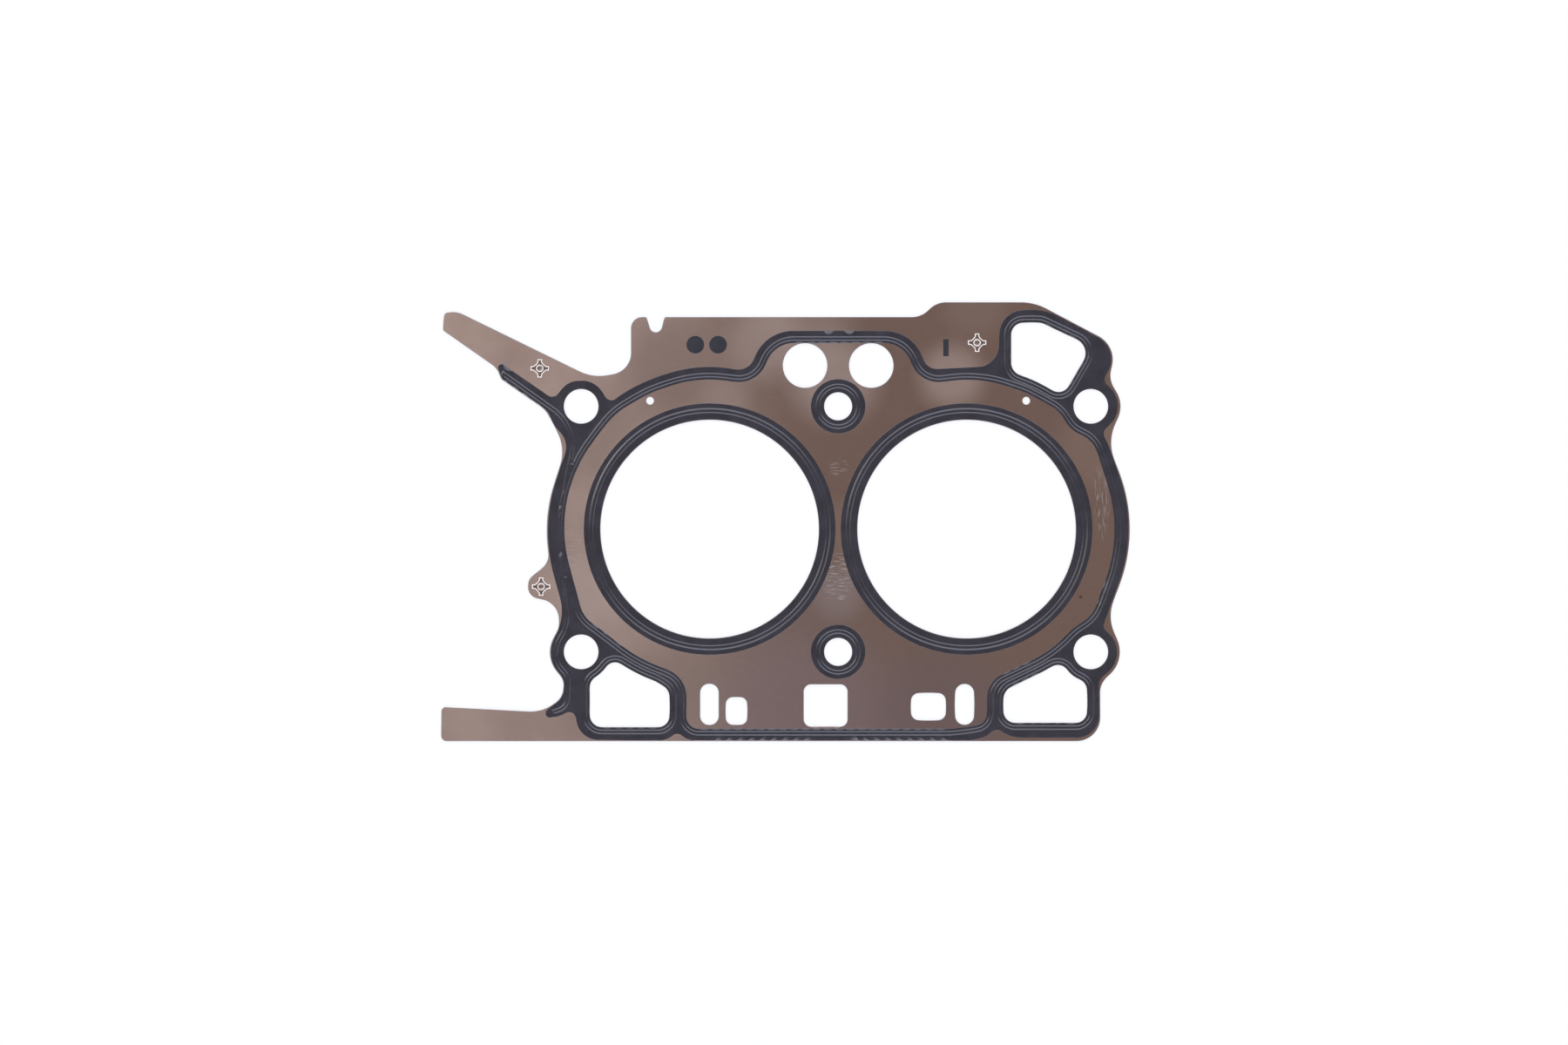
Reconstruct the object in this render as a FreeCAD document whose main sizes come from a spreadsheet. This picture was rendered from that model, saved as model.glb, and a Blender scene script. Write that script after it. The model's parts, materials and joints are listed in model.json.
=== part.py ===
import FreeCAD, Part
import math
import os
from collections import namedtuple

import Sketcher
from FreeCAD import Placement, Rotation, Vector

# Cylinder head gasket for a bank of two cylinders: two embossed steel sheets on either side of a
# flat one, with rubber printed along the beads. Millimetres, +Z up. The origin is midway between
# the two bore axes, on the plane that the beads of the lower sheet rest on.

# Driving sizes
SIZES = {
    # Bores and bolts
    "bore_radius": 48.2,
    "bore_web": 16.6,  # between the edges of the two bores
    "bolt_row": 54.0,  # from the bore axes to each row of bolts
    "left_bolt_reach": 56.5,  # from the left bore axis to the left pair of bolts
    "right_bolt_reach": 54.6,
    "corner_bolt_radius": 7.6,
    "centre_bolt_radius": 6.15,
    # Small round openings
    "coolant_radius": 9.75,
    "coolant_spread": 14.55,  # from the middle of the gasket
    "coolant_rise": 71.95,
    "locator_radius": 1.65,
    "locator_spread": 26.2,  # outwards from each bore axis
    "locator_rise": 56.45,
    # Thicknesses, from the middle outwards
    "carrier_thickness": 0.42,
    "sheet_thickness": 0.20,
    "coat_thickness": 0.06,
    # Pressed bead of the tracks
    "bead_height": 0.22,
    "bead_width": 2.1,
    "bead_crest": 0.9,
    "track_bead_offset": 2.0,  # outwards from the inner edge of the track print
    "passage_bead_offset": 2.1,  # outwards from the edge of each passage
    "edge_margin": 0.35,  # bare steel between the print and the edge of the sheet
    # Pressed bead and hidden stopper around each bore
    "stopper_width": 2.3,
    "stopper_rise": 0.05,  # by which the stopper stands over each face of the carrier
    "stopper_lip": 0.2,  # by which the stopper reaches into the bore past the sheets
    "bore_bead_start": 2.5,  # outwards from the bore edge
    "bore_bead_slope": 0.8,
    "bore_bead_crest": 1.6,
    "bore_print_width": 7.1,
    # Pressed bead around each centre bolt
    "bolt_bead_radius": 8.95,
    "bolt_print_radius": 11.95,
    # Eyelets that hold the three sheets together
    "shank_radius": 1.7,
    "shank_clearance": 0.05,
    "cup_radius": 1.25,
    "cup_depth": 0.5,
    "star_reach": 4.0,
    "star_arm_width": 1.9,
    "star_arm_length": 1.2,
    "star_side_radius": 7.0,
    "star_thickness": 0.14,
    "foot_radius": 3.1,
    "foot_thickness": 0.14,
    # Printed marks
    "dot_radius": 3.9,
    "bar_width": 2.4,
    "bar_length": 7.5,
    # By which a cutting prism stands out past the stack, above and below
    "overrun": 1.0,
}

# Share of a side that its two roundings may take where they are made smaller to fit
SHARED_SIDE = 0.98

# Heights of the faces in the stack, written as formulas on the sizes
LOWER_FACE = "(sizes.coat_thickness + sizes.bead_height)"
CARRIER_FACE = f"({LOWER_FACE} + sizes.sheet_thickness)"
SHEET_FACE = f"({CARRIER_FACE} + sizes.carrier_thickness)"
TOP_FACE = f"({SHEET_FACE} + sizes.sheet_thickness)"
PRINT_FACE = f"({TOP_FACE} + sizes.coat_thickness)"
MIDDLE = f"({CARRIER_FACE} + sizes.carrier_thickness / 2)"

# From the middle of the gasket to each bore axis
BORE_SPREAD = "(sizes.bore_radius + sizes.bore_web / 2)"

# Fixed points that the outlines hang on: each has its place as formulas on the sizes
ANCHORS = {
    "left_bore": (f"-{BORE_SPREAD}", "0"),
    "right_bore": (BORE_SPREAD, "0"),
    "low_left_bolt": (f"-{BORE_SPREAD} - sizes.left_bolt_reach", "-sizes.bolt_row"),
    "high_left_bolt": (f"-{BORE_SPREAD} - sizes.left_bolt_reach", "sizes.bolt_row"),
    "low_right_bolt": (f"{BORE_SPREAD} + sizes.right_bolt_reach", "-sizes.bolt_row"),
    "high_right_bolt": (f"{BORE_SPREAD} + sizes.right_bolt_reach", "sizes.bolt_row"),
    "low_centre_bolt": ("0", "-sizes.bolt_row"),
    "high_centre_bolt": ("0", "sizes.bolt_row"),
}

# A corner of an outline: the anchor it hangs on, its place from there, and its rounding radius
Corner = namedtuple("Corner", "anchor dx dy radius")

# Outline of the sheets, counterclockwise from the lower right corner
PLATE_RIGHT_SIDE = [
    Corner("low_right_bolt", 4.2, -39.3, 10.4),
    Corner("low_right_bolt", 4.1, -14.0, 9.3),
    Corner("low_right_bolt", 15.4, -3.4, 13.5),
    Corner("low_right_bolt", 7.4, 15.3, 18.2),
    Corner("right_bore", 76.5, 0.2, 70.0),
    Corner("high_right_bolt", 7.4, -15.5, 19.8),
    Corner("high_right_bolt", 14.6, 0.8, 12.5),
    Corner("high_right_bolt", 8.0, 11.9, 10.0),
    Corner("high_right_bolt", 11.4, 26.7, 11.8),
]
PLATE_TOP = [
    Corner("high_right_bolt", -24.8, 45.8, 24.0),
    Corner("right_bore", -13.2, 99.8, 10.2),
    Corner("right_bore", -20.0, 93.3, 10.4),
]
PLATE_NOTCH = [
    Corner("left_bore", -19.8, 93.3, 1.0),
    Corner("left_bore", -23.5, 79.8, 2.7),
    Corner("left_bore", -27.8, 93.3, 1.0),
]
PLATE_UPPER_ARM = [
    Corner("left_bore", -34.6, 93.3, 4.9),
    Corner("left_bore", -34.6, 69.7, 9.5),
    Corner("high_left_bolt", 5.3, 12.5, 20.5),
    Corner("high_left_bolt", -54.6, 41.8, 10.0),
    Corner("high_left_bolt", -60.2, 41.1, 1.8),
    Corner("high_left_bolt", -60.8, 33.4, 1.3),
    Corner("high_left_bolt", -37.0, 16.7, 8.0),
    Corner("high_left_bolt", -35.2, 11.9, 4.0),
]
PLATE_LEFT_SIDE = [
    Corner("high_left_bolt", -15.6, -1.7, 11.7),
    Corner("high_left_bolt", -6.9, -18.2, 18.9),
    Corner("high_left_bolt", -9.6, -26.9, 35.0),
    Corner("left_bore", -72.8, 6.2, 67.0),
    Corner("left_bore", -70.5, -14.5, 7.5),
    Corner("left_bore", -79.7, -22.0, 5.0),
    Corner("left_bore", -80.0, -29.6, 5.0),
    Corner("left_bore", -66.5, -32.6, 9.0),
    Corner("low_left_bolt", -9.7, 10.9, 8.2),
]
PLATE_LOWER_ARM = [
    Corner("low_left_bolt", -16.3, -1.7, 13.5),
    Corner("low_left_bolt", -7.6, -12.6, 6.3),
    Corner("low_left_bolt", -8.2, -19.9, 7.8),
    Corner("low_left_bolt", -17.0, -26.5, 17.0),
    Corner("low_left_bolt", -61.4, -24.2, 1.8),
    Corner("low_left_bolt", -61.6, -39.3, 2.4),
]
PLATE_OUTLINE = (
    PLATE_RIGHT_SIDE + PLATE_TOP + PLATE_NOTCH + PLATE_UPPER_ARM + PLATE_LEFT_SIDE + PLATE_LOWER_ARM
)

# Outer edge of the track print, counterclockwise from the bottom of the right bore. Where it
# meets the edge of the sheet, the bare margin trims it.
PRINT_LOWER_RIGHT = [
    Corner("right_bore", 0.7, -93.1, 20.0),
    Corner("right_bore", 8.2, -91.6, 11.8),
    Corner("low_right_bolt", -41.5, -33.6, 3.4),
    Corner("low_right_bolt", -34.9, -37.8, 15.4),
    Corner("low_right_bolt", 3.8, -37.8, 9.9),
    Corner("low_right_bolt", 3.5, -12.3, 6.0),
    Corner("low_right_bolt", 17.4, -0.9, 11.6),
    Corner("low_right_bolt", 5.2, 10.8, 2.6),
]
PRINT_UPPER_RIGHT = [
    Corner("right_bore", 75.5, 0.1, 70.0),
    Corner("high_right_bolt", 7.4, -16.2, 29.7),
    Corner("high_right_bolt", 5.0, -11.4, 3.4),
    Corner("high_right_bolt", 17.0, 0.0, 11.5),
    Corner("high_right_bolt", 5.3, 11.3, 3.1),
    Corner("high_right_bolt", 13.1, 25.1, 11.1),
    Corner("high_right_bolt", -20.3, 42.8, 23.3),
    Corner("high_right_bolt", -39.7, 41.8, 10.6),
    Corner("high_right_bolt", -40.9, 17.7, 9.5),
]
PRINT_TOP = [
    Corner("right_bore", 3.9, 71.3, 14.9),
    Corner("right_bore", -17.1, 70.2, 6.4),
    Corner("right_bore", -24.3, 87.2, 17.6),
    Corner("left_bore", 24.9, 87.2, 18.0),
    Corner("left_bore", 17.1, 69.5, 7.2),
    Corner("left_bore", -5.3, 72.7, 60.0),
    Corner("left_bore", -23.6, 66.8, 15.0),
]
PRINT_UPPER_LEFT = [
    Corner("high_left_bolt", 21.5, 7.9, 58.0),
    Corner("high_left_bolt", 12.5, 1.4, 3.1),
    Corner("high_left_bolt", 6.0, 11.4, 10.3),
    Corner("high_left_bolt", -5.6, 11.2, 9.7),
    Corner("high_left_bolt", -12.1, 3.1, 3.2),
    Corner("high_left_bolt", -38.4, 21.3, 1.6),
    Corner("high_left_bolt", -34.2, 10.9, 1.8),
    Corner("high_left_bolt", -14.8, -1.9, 7.6),
    Corner("high_left_bolt", -11.7, -8.8, 16.0),
    Corner("high_left_bolt", -5.3, -15.7, 9.2),
]
PRINT_LOWER_LEFT = [
    Corner("left_bore", -74.6, 1.8, 75.0),
    Corner("low_left_bolt", -7.2, 16.1, 21.4),
    Corner("low_left_bolt", -15.6, -2.3, 13.4),
    Corner("low_left_bolt", -7.1, -12.6, 7.4),
    Corner("low_left_bolt", -8.0, -19.6, 7.7),
    Corner("low_left_bolt", -15.5, -26.0, 0.9),
    Corner("low_left_bolt", -15.7, -29.0, 1.6),
    Corner("low_left_bolt", -10.0, -28.6, 13.4),
    Corner("low_left_bolt", -3.2, -25.1, 3.0),
    Corner("low_left_bolt", -0.2, -38.7, 9.7),
    Corner("left_bore", -19.3, -93.1, 11.2),
    Corner("left_bore", -14.2, -89.4, 2.9),
    Corner("left_bore", -9.2, -93.1, 10.2),
]
PRINT_OUTER_EDGE = (
    PRINT_LOWER_RIGHT + PRINT_UPPER_RIGHT + PRINT_TOP + PRINT_UPPER_LEFT + PRINT_LOWER_LEFT
)

# Inner edge of the track print, counterclockwise from the bottom of the right bore
PRINT_INNER_RIGHT = [
    Corner("right_bore", -6.2, -87.8, 40.0),
    Corner("right_bore", 7.8, -85.8, 5.3),
    Corner("right_bore", 9.0, -80.5, 9.5),
    Corner("right_bore", 8.9, -67.0, 11.6),
    Corner("right_bore", 36.8, -53.8, 52.5),
    Corner("right_bore", 46.6, -43.6, 24.9),
    Corner("right_bore", 55.3, -38.0, 15.6),
    Corner("right_bore", 68.8, -1.0, 65.4),
    Corner("right_bore", 55.6, 38.9, 12.3),
    Corner("right_bore", 45.7, 43.6, 14.0),
    Corner("right_bore", 40.5, 52.1, 16.2),
    Corner("right_bore", 26.0, 60.0, 30.0),
    Corner("right_bore", 6.0, 66.7, 54.8),
    Corner("right_bore", -20.2, 63.6, 12.7),
    Corner("right_bore", -28.1, 81.8, 12.6),
]
PRINT_INNER_LEFT = [
    Corner("left_bore", 28.8, 81.8, 12.7),
    Corner("left_bore", 20.7, 63.6, 12.8),
    Corner("left_bore", -5.5, 66.8, 53.9),
    Corner("left_bore", -26.3, 59.9, 54.0),
    Corner("left_bore", -41.8, 50.8, 33.8),
    Corner("left_bore", -69.8, 13.9, 62.9),
    Corner("left_bore", -55.6, -38.3, 13.2),
    Corner("left_bore", -31.7, -56.5, 62.0),
    Corner("left_bore", -10.2, -65.2, 12.8),
    Corner("left_bore", -10.2, -87.8, 5.4),
]
PRINT_INNER_EDGE = PRINT_INNER_RIGHT + PRINT_INNER_LEFT

# The three large passages outside the bolts' rectangle
PASSAGES = {
    "upper_right_passage": [
        Corner("high_right_bolt", -21.8, 36.8, 6.0),
        Corner("high_right_bolt", -35.0, 36.7, 5.3),
        Corner("high_right_bolt", -35.0, 15.2, 5.8),
        Corner("high_right_bolt", -24.3, 11.2, 62.0),
        Corner("high_right_bolt", -12.3, 4.5, 5.2),
        Corner("high_right_bolt", 0.4, 26.3, 6.7),
    ],
    "lower_left_passage": [
        Corner("low_left_bolt", 38.8, -33.1, 5.0),
        Corner("low_left_bolt", 38.8, -16.7, 5.6),
        Corner("low_left_bolt", 32.8, -13.0, 13.2),
        Corner("low_left_bolt", 25.2, -10.0, 67.0),
        Corner("low_left_bolt", 13.8, -3.2, 4.7),
        Corner("low_left_bolt", 8.9, -9.3, 18.4),
        Corner("low_left_bolt", 3.8, -12.9, 5.4),
        Corner("low_left_bolt", 3.8, -33.1, 5.4),
    ],
    "lower_right_passage": [
        Corner("low_right_bolt", -1.7, -31.2, 4.9),
        Corner("low_right_bolt", -1.7, -13.8, 5.2),
        Corner("low_right_bolt", -8.0, -10.6, 11.7),
        Corner("low_right_bolt", -13.4, -4.5, 5.0),
        Corner("low_right_bolt", -21.6, -9.0, 39.0),
        Corner("low_right_bolt", -38.4, -17.1, 6.1),
        Corner("low_right_bolt", -38.4, -31.2, 5.2),
    ],
}

# Beads that branch off the main one and run out along the arms, outer end first
BEAD_BRANCHES = {
    "upper_arm_bead": [
        Corner("high_left_bolt", -35.0, 14.9, 0.0),
        Corner("high_left_bolt", -7.6, -4.6, 20.0),
        Corner("high_left_bolt", -3.2, -15.5, 12.0),
        Corner("left_bore", -65.2, 10.0, 0.0),
    ],
    "lower_arm_bead": [
        Corner("low_left_bolt", -12.6, -26.5, 0.0),
        Corner("low_left_bolt", -5.9, -24.2, 6.0),
        Corner("low_left_bolt", -5.6, -10.9, 6.0),
        Corner("low_left_bolt", -13.6, -1.6, 11.2),
        Corner("low_left_bolt", -5.9, 12.0, 14.0),
        Corner("left_bore", -65.4, -11.0, 0.0),
    ],
}

# Windows that save weight or pass coolant: anchor, middle, width, height and corner radius
Window = namedtuple("Window", "anchor x y width height radius")
WINDOWS = {
    "square_window": Window("low_centre_bolt", -5.5, -23.6, 19.2, 18.5, 3.2),
    "right_window": Window("right_bore", -16.8, -78.1, 15.2, 11.8, 3.4),
    "left_window": Window("left_bore", 11.8, -80.0, 9.3, 12.0, 3.0),
    "right_slot": Window("right_bore", -0.9, -77.1, 8.2, 17.8, 4.0),
    "left_slot": Window("left_bore", -0.1, -77.1, 8.1, 18.0, 3.9),
}

# Places of the eyelets and of the printed marks, from an anchor
EYELETS = {
    "upper_arm_eyelet": ("high_left_bolt", -18.2, 16.7),
    "side_lobe_eyelet": ("left_bore", -74.1, -25.3),
    "top_edge_eyelet": ("right_bore", 4.6, 82.0),
}
DOTS = {
    "printed_dot_left": ("left_bore", -6.3, 81.1),
    "printed_dot_right": ("left_bore", 3.7, 81.1),
}
BAR_PLACE = ("right_bore", -9.1, 79.8)

doc = FreeCAD.newDocument("head_gasket")


# Sizes and anchors
def write_sizes():
    """Put every driving size in the sheet, under its own name."""
    sheet = doc.addObject("Spreadsheet::Sheet", "sizes")
    for row, (alias, value) in enumerate(SIZES.items(), start=1):
        sheet.set(f"A{row}", alias)
        sheet.set(f"B{row}", str(value))
        sheet.setAlias(f"B{row}", alias)
    doc.recompute()


def add_anchors():
    """Make a point for each anchor, placed by the sheet."""
    for name, (x_formula, y_formula) in ANCHORS.items():
        point = doc.addObject("Part::Vertex", name)
        point.setExpression("X", x_formula)
        point.setExpression("Y", y_formula)
    doc.recompute()


def size(alias):
    """Read one size back from the sheet."""
    return float(doc.getObject("sizes").get(alias))


def corner_point(corner):
    """Place of a corner in the plane of the gasket."""
    anchor = doc.getObject(corner.anchor)
    return Vector(anchor.X.Value + corner.dx, anchor.Y.Value + corner.dy, 0)


# Sketches with rounded corners
def rounding(before, point, after, radius):
    """Start, middle and end of the arc that rounds the corner at point."""
    back = (before - point).normalize()
    ahead = (after - point).normalize()
    half_angle = back.getAngle(ahead) / 2
    setback = radius / math.tan(half_angle)
    inwards = (back + ahead).normalize()
    middle = point + inwards * (radius / math.sin(half_angle) - radius)
    return point + back * setback, middle, point + ahead * setback


def arc_through(start, middle, end):
    """An arc through three points, always drawn counterclockwise as a sketch keeps it."""
    turns_left = (middle - start).cross(end - middle).z > 0
    return Part.Arc(start, middle, end) if turns_left else Part.Arc(end, middle, start)


def end_number(sketch, index, point):
    """Which end of an edge in the sketch lies at point: 1 for its start, 2 for its end."""
    start = sketch.Geometry[index].StartPoint
    end = sketch.Geometry[index].EndPoint
    return 1 if start.distanceToPoint(point) < end.distanceToPoint(point) else 2


def hold_corners(sketch, corners, points):
    """Fix a construction point for each corner, measured from its anchor."""
    marks = sketch.addGeometry([Part.Point(point) for point in points], True)
    anchors = sorted({corner.anchor for corner in corners})
    anchor_points = [Vector(doc.getObject(name).X.Value, doc.getObject(name).Y.Value, 0) for name in anchors]
    anchor_marks = dict(zip(anchors, sketch.addGeometry([Part.Point(point) for point in anchor_points], True)))
    for name, point in zip(anchors, anchor_points):
        mark = anchor_marks[name]
        across = sketch.addConstraint(Sketcher.Constraint("DistanceX", -1, 1, mark, 1, point.x))
        up = sketch.addConstraint(Sketcher.Constraint("DistanceY", -1, 1, mark, 1, point.y))
        sketch.setExpression(f"Constraints[{across}]", f"{name}.X")
        sketch.setExpression(f"Constraints[{up}]", f"{name}.Y")
    limits = []
    for mark, corner in zip(marks, corners):
        anchor_mark = anchor_marks[corner.anchor]
        limits.append(Sketcher.Constraint("DistanceX", anchor_mark, 1, mark, 1, corner.dx))
        limits.append(Sketcher.Constraint("DistanceY", anchor_mark, 1, mark, 1, corner.dy))
    sketch.addConstraint(limits)
    return marks


def fitting_radii(corners, points, rounded):
    """The corners' radii, less where two neighbouring roundings have no room on their side."""
    count = len(corners)
    reach = {}
    for i in rounded:
        turn_angle = (points[i] - points[i - 1]).getAngle(points[(i + 1) % count] - points[i])
        reach[i] = corners[i].radius * math.tan(turn_angle / 2)
    radii = {i: corners[i].radius for i in rounded}
    for i in rounded:
        for neighbour in ((i - 1) % count, (i + 1) % count):
            side = (points[i] - points[neighbour]).Length
            taken = reach[i] + reach.get(neighbour, 0)
            if taken > side:
                radii[i] = min(radii[i], SHARED_SIDE * corners[i].radius * side / taken)
    return radii


def rounded_sketch(name, corners, closed=True):
    """Straight edges with a rounded corner at each given place, closed or with two free ends."""
    sketch = doc.addObject("Sketcher::SketchObject", name)
    points = [corner_point(corner) for corner in corners]
    count = len(corners)
    rounded = range(count) if closed else range(1, count - 1)
    radii = fitting_radii(corners, points, rounded)
    arcs = {}
    for i in rounded:
        arcs[i] = rounding(points[i - 1], points[i], points[(i + 1) % count], radii[i])
    arc_index = dict(zip(rounded, sketch.addGeometry([arc_through(*arcs[i]) for i in rounded], False)))
    stretches = range(count) if closed else range(count - 1)
    lines = []
    for i in stretches:
        start = arcs[i][2] if i in arcs else points[i]
        end = arcs[(i + 1) % count][0] if (i + 1) % count in arcs else points[i + 1]
        lines.append(Part.LineSegment(start, end))
    line_index = dict(zip(stretches, sketch.addGeometry(lines, False)))
    marks = hold_corners(sketch, corners, points)
    limits = []
    for i in rounded:
        before = line_index[(i - 1) % count]
        after = line_index[i]
        arc = arc_index[i]
        limits.append(Sketcher.Constraint("Tangent", before, 2, arc, end_number(sketch, arc, arcs[i][0])))
        limits.append(Sketcher.Constraint("Tangent", arc, end_number(sketch, arc, arcs[i][2]), after, 1))
        limits.append(Sketcher.Constraint("PointOnObject", marks[i], 1, before))
        limits.append(Sketcher.Constraint("PointOnObject", marks[i], 1, after))
        limits.append(Sketcher.Constraint("Radius", arc, radii[i]))
    if not closed:
        limits.append(Sketcher.Constraint("Coincident", line_index[0], 1, marks[0], 1))
        limits.append(Sketcher.Constraint("Coincident", line_index[count - 2], 2, marks[-1], 1))
    sketch.addConstraint(limits)
    return sketch


def window_corners(window):
    """The four corners of a rectangular window."""
    half_width = window.width / 2
    half_height = window.height / 2
    signs = [(-1, -1), (1, -1), (1, 1), (-1, 1)]
    return [
        Corner(window.anchor, window.x + side * half_width, window.y + rise * half_height, window.radius)
        for side, rise in signs
    ]


# Building blocks
def prism(name, outline, base_formula, height_formula):
    """Extrude a closed outline upwards from a height."""
    block = doc.addObject("Part::Extrusion", name)
    block.Base = outline
    block.DirMode = "Custom"
    block.Dir = Vector(0, 0, 1)
    block.Solid = True
    block.setExpression("LengthFwd", height_formula)
    block.setExpression(".Placement.Base.z", base_formula)
    return block


def through_prism(name, outline):
    """Extrude a closed outline through the whole stack and past it."""
    return prism(name, outline, "-sizes.overrun", f"2 * {MIDDLE} + 2 * sizes.overrun")


def through_hole(name, x_formula, y_formula, radius_formula):
    """A round bar through the whole stack, to cut a hole with."""
    bar = doc.addObject("Part::Cylinder", name)
    bar.setExpression("Radius", radius_formula)
    bar.setExpression("Height", f"2 * {MIDDLE} + 2 * sizes.overrun")
    bar.setExpression(".Placement.Base.x", x_formula)
    bar.setExpression(".Placement.Base.y", y_formula)
    bar.setExpression(".Placement.Base.z", "-sizes.overrun")
    return bar


def parallel_outline(name, outline, distance_formula):
    """The same outline moved outwards by a distance, or inwards if that is negative."""
    moved = doc.addObject("Part::Offset2D", name)
    moved.Source = outline
    moved.setExpression("Value", distance_formula)
    return moved


def cut(name, body, tool):
    """Take one shape out of another."""
    result = doc.addObject("Part::Cut", name)
    result.Base = body
    result.Tool = tool
    return result


def fuse(name, shapes):
    """Join several shapes that touch or overlap."""
    result = doc.addObject("Part::MultiFuse", name)
    result.Shapes = shapes
    return result


def gather(name, shapes, height_formula="0"):
    """Hold separate shapes together, lifted to a height."""
    group = doc.addObject("Part::Compound", name)
    group.Links = shapes
    group.setExpression(".Placement.Base.z", height_formula)
    return group


def mirror_below(name, source):
    """The same piece on the other side of the carrier."""
    image = doc.addObject("Part::Mirroring", name)
    image.Source = source
    image.Normal = Vector(0, 0, 1)
    image.setExpression("Base.z", MIDDLE)
    return image


def polygon(sketch, corner_formulas):
    """Draw a closed polygon in a sketch, each corner placed by two formulas."""
    count = len(corner_formulas)
    turns = [2 * math.pi * i / count for i in range(count)]
    start = [Vector(math.cos(turn), math.sin(turn), 0) for turn in turns]
    sides = [Part.LineSegment(start[i], start[(i + 1) % count]) for i in range(count)]
    index = sketch.addGeometry(sides, False)
    joints = [Sketcher.Constraint("Coincident", index[i - 1], 2, index[i], 1) for i in range(count)]
    sketch.addConstraint(joints)
    for i, (across_formula, up_formula) in enumerate(corner_formulas):
        across = sketch.addConstraint(Sketcher.Constraint("DistanceX", -1, 1, index[i], 1, start[i].x))
        up = sketch.addConstraint(Sketcher.Constraint("DistanceY", -1, 1, index[i], 1, start[i].y))
        sketch.setExpression(f"Constraints[{across}]", across_formula)
        sketch.setExpression(f"Constraints[{up}]", up_formula)


# Pressed beads, all drawn with their foot at z = 0
def bead_section(name, spine):
    """The bead's section, a low trapezium standing across the longest edge of the spine."""
    longest = max(spine.Shape.Edges, key=lambda edge: edge.Length)
    halfway = (longest.FirstParameter + longest.LastParameter) / 2
    along = longest.tangentAt(halfway)
    section = doc.addObject("Sketcher::SketchObject", name)
    section.Placement = Placement(
        longest.valueAt(halfway), Rotation(along.cross(Vector(0, 0, -1)), Vector(0, 0, 1), along, "ZXY")
    )
    polygon(section, [
        ("-sizes.bead_width / 2", "0"),
        ("sizes.bead_width / 2", "0"),
        ("sizes.bead_crest / 2", "sizes.bead_height"),
        ("-sizes.bead_crest / 2", "sizes.bead_height"),
    ])
    return section


def bead_along(name, spine):
    """Sweep the bead's section along a spine."""
    bead = doc.addObject("Part::Sweep", name)
    bead.Sections = [bead_section(f"{name}_section", spine)]
    bead.Spine = (spine, [f"Edge{i + 1}" for i in range(len(spine.Shape.Edges))])
    bead.Solid = True
    bead.Frenet = True
    return bead


def ring_bead(name, anchor, corner_formulas):
    """Turn a bead's section about the upright axis through an anchor."""
    section = doc.addObject("Sketcher::SketchObject", f"{name}_section")
    section.Placement = Placement(Vector(0, 0, 0), Rotation(Vector(1, 0, 0), 90))
    polygon(section, corner_formulas)
    ring = doc.addObject("Part::Revolution", name)
    ring.Source = section
    ring.Axis = Vector(0, 0, 1)
    ring.Angle = 360
    ring.Solid = True
    ring.setExpression(".Placement.Base.x", f"{anchor}.X")
    ring.setExpression(".Placement.Base.y", f"{anchor}.Y")
    return ring


BORE_BEAD_FOOT = "(sizes.bore_radius + sizes.bore_bead_start)"
BORE_BEAD_SHOULDER = f"({BORE_BEAD_FOOT} + sizes.bore_bead_slope)"
BORE_BEAD_OUTER_SHOULDER = f"({BORE_BEAD_SHOULDER} + sizes.bore_bead_crest)"
BORE_BEAD_OUTER_FOOT = f"({BORE_BEAD_OUTER_SHOULDER} + sizes.bore_bead_slope)"


def bore_bead_profile(base_formula):
    """Upper side of the bead and of the land inside it, from the bore edge outwards."""
    return [
        ("sizes.bore_radius", f"{base_formula} + sizes.stopper_rise"),
        (BORE_BEAD_FOOT, f"{base_formula} + sizes.stopper_rise"),
        (BORE_BEAD_SHOULDER, f"{base_formula} + sizes.bead_height"),
        (BORE_BEAD_OUTER_SHOULDER, f"{base_formula} + sizes.bead_height"),
        (BORE_BEAD_OUTER_FOOT, base_formula),
    ]


def bolt_bead_profile(base_formula):
    """Upper side of the bead around a centre bolt, from the inside outwards."""
    return [
        ("sizes.bolt_bead_radius - sizes.bead_width / 2", base_formula),
        ("sizes.bolt_bead_radius - sizes.bead_crest / 2", f"{base_formula} + sizes.bead_height"),
        ("sizes.bolt_bead_radius + sizes.bead_crest / 2", f"{base_formula} + sizes.bead_height"),
        ("sizes.bolt_bead_radius + sizes.bead_width / 2", base_formula),
    ]


def track_beads():
    """The main bead with its two branches, and a bead around each passage."""
    inner_edge = doc.getObject("print_inner_edge")
    spines = {"main_bead": parallel_outline("main_bead_spine", inner_edge, "sizes.track_bead_offset")}
    for name in PASSAGES:
        outline = doc.getObject(name)
        spines[f"{name}_bead"] = parallel_outline(f"{name}_spine", outline, "sizes.passage_bead_offset")
    for name, corners in BEAD_BRANCHES.items():
        spines[name] = rounded_sketch(f"{name}_spine", corners, closed=False)
    doc.recompute()
    return fuse("track_beads", [bead_along(name, spine) for name, spine in spines.items()])


def ring_beads():
    """The beads around the bores, with the land inside them, and around the centre bolts."""
    bore_corners = [("sizes.bore_radius", "0")] + bore_bead_profile("0")
    rings = [ring_bead(f"{anchor}_bead", anchor, bore_corners) for anchor in ("left_bore", "right_bore")]
    for anchor in ("low_centre_bolt", "high_centre_bolt"):
        rings.append(ring_bead(f"{anchor}_bead", anchor, bolt_bead_profile("0")))
    return rings


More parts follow.
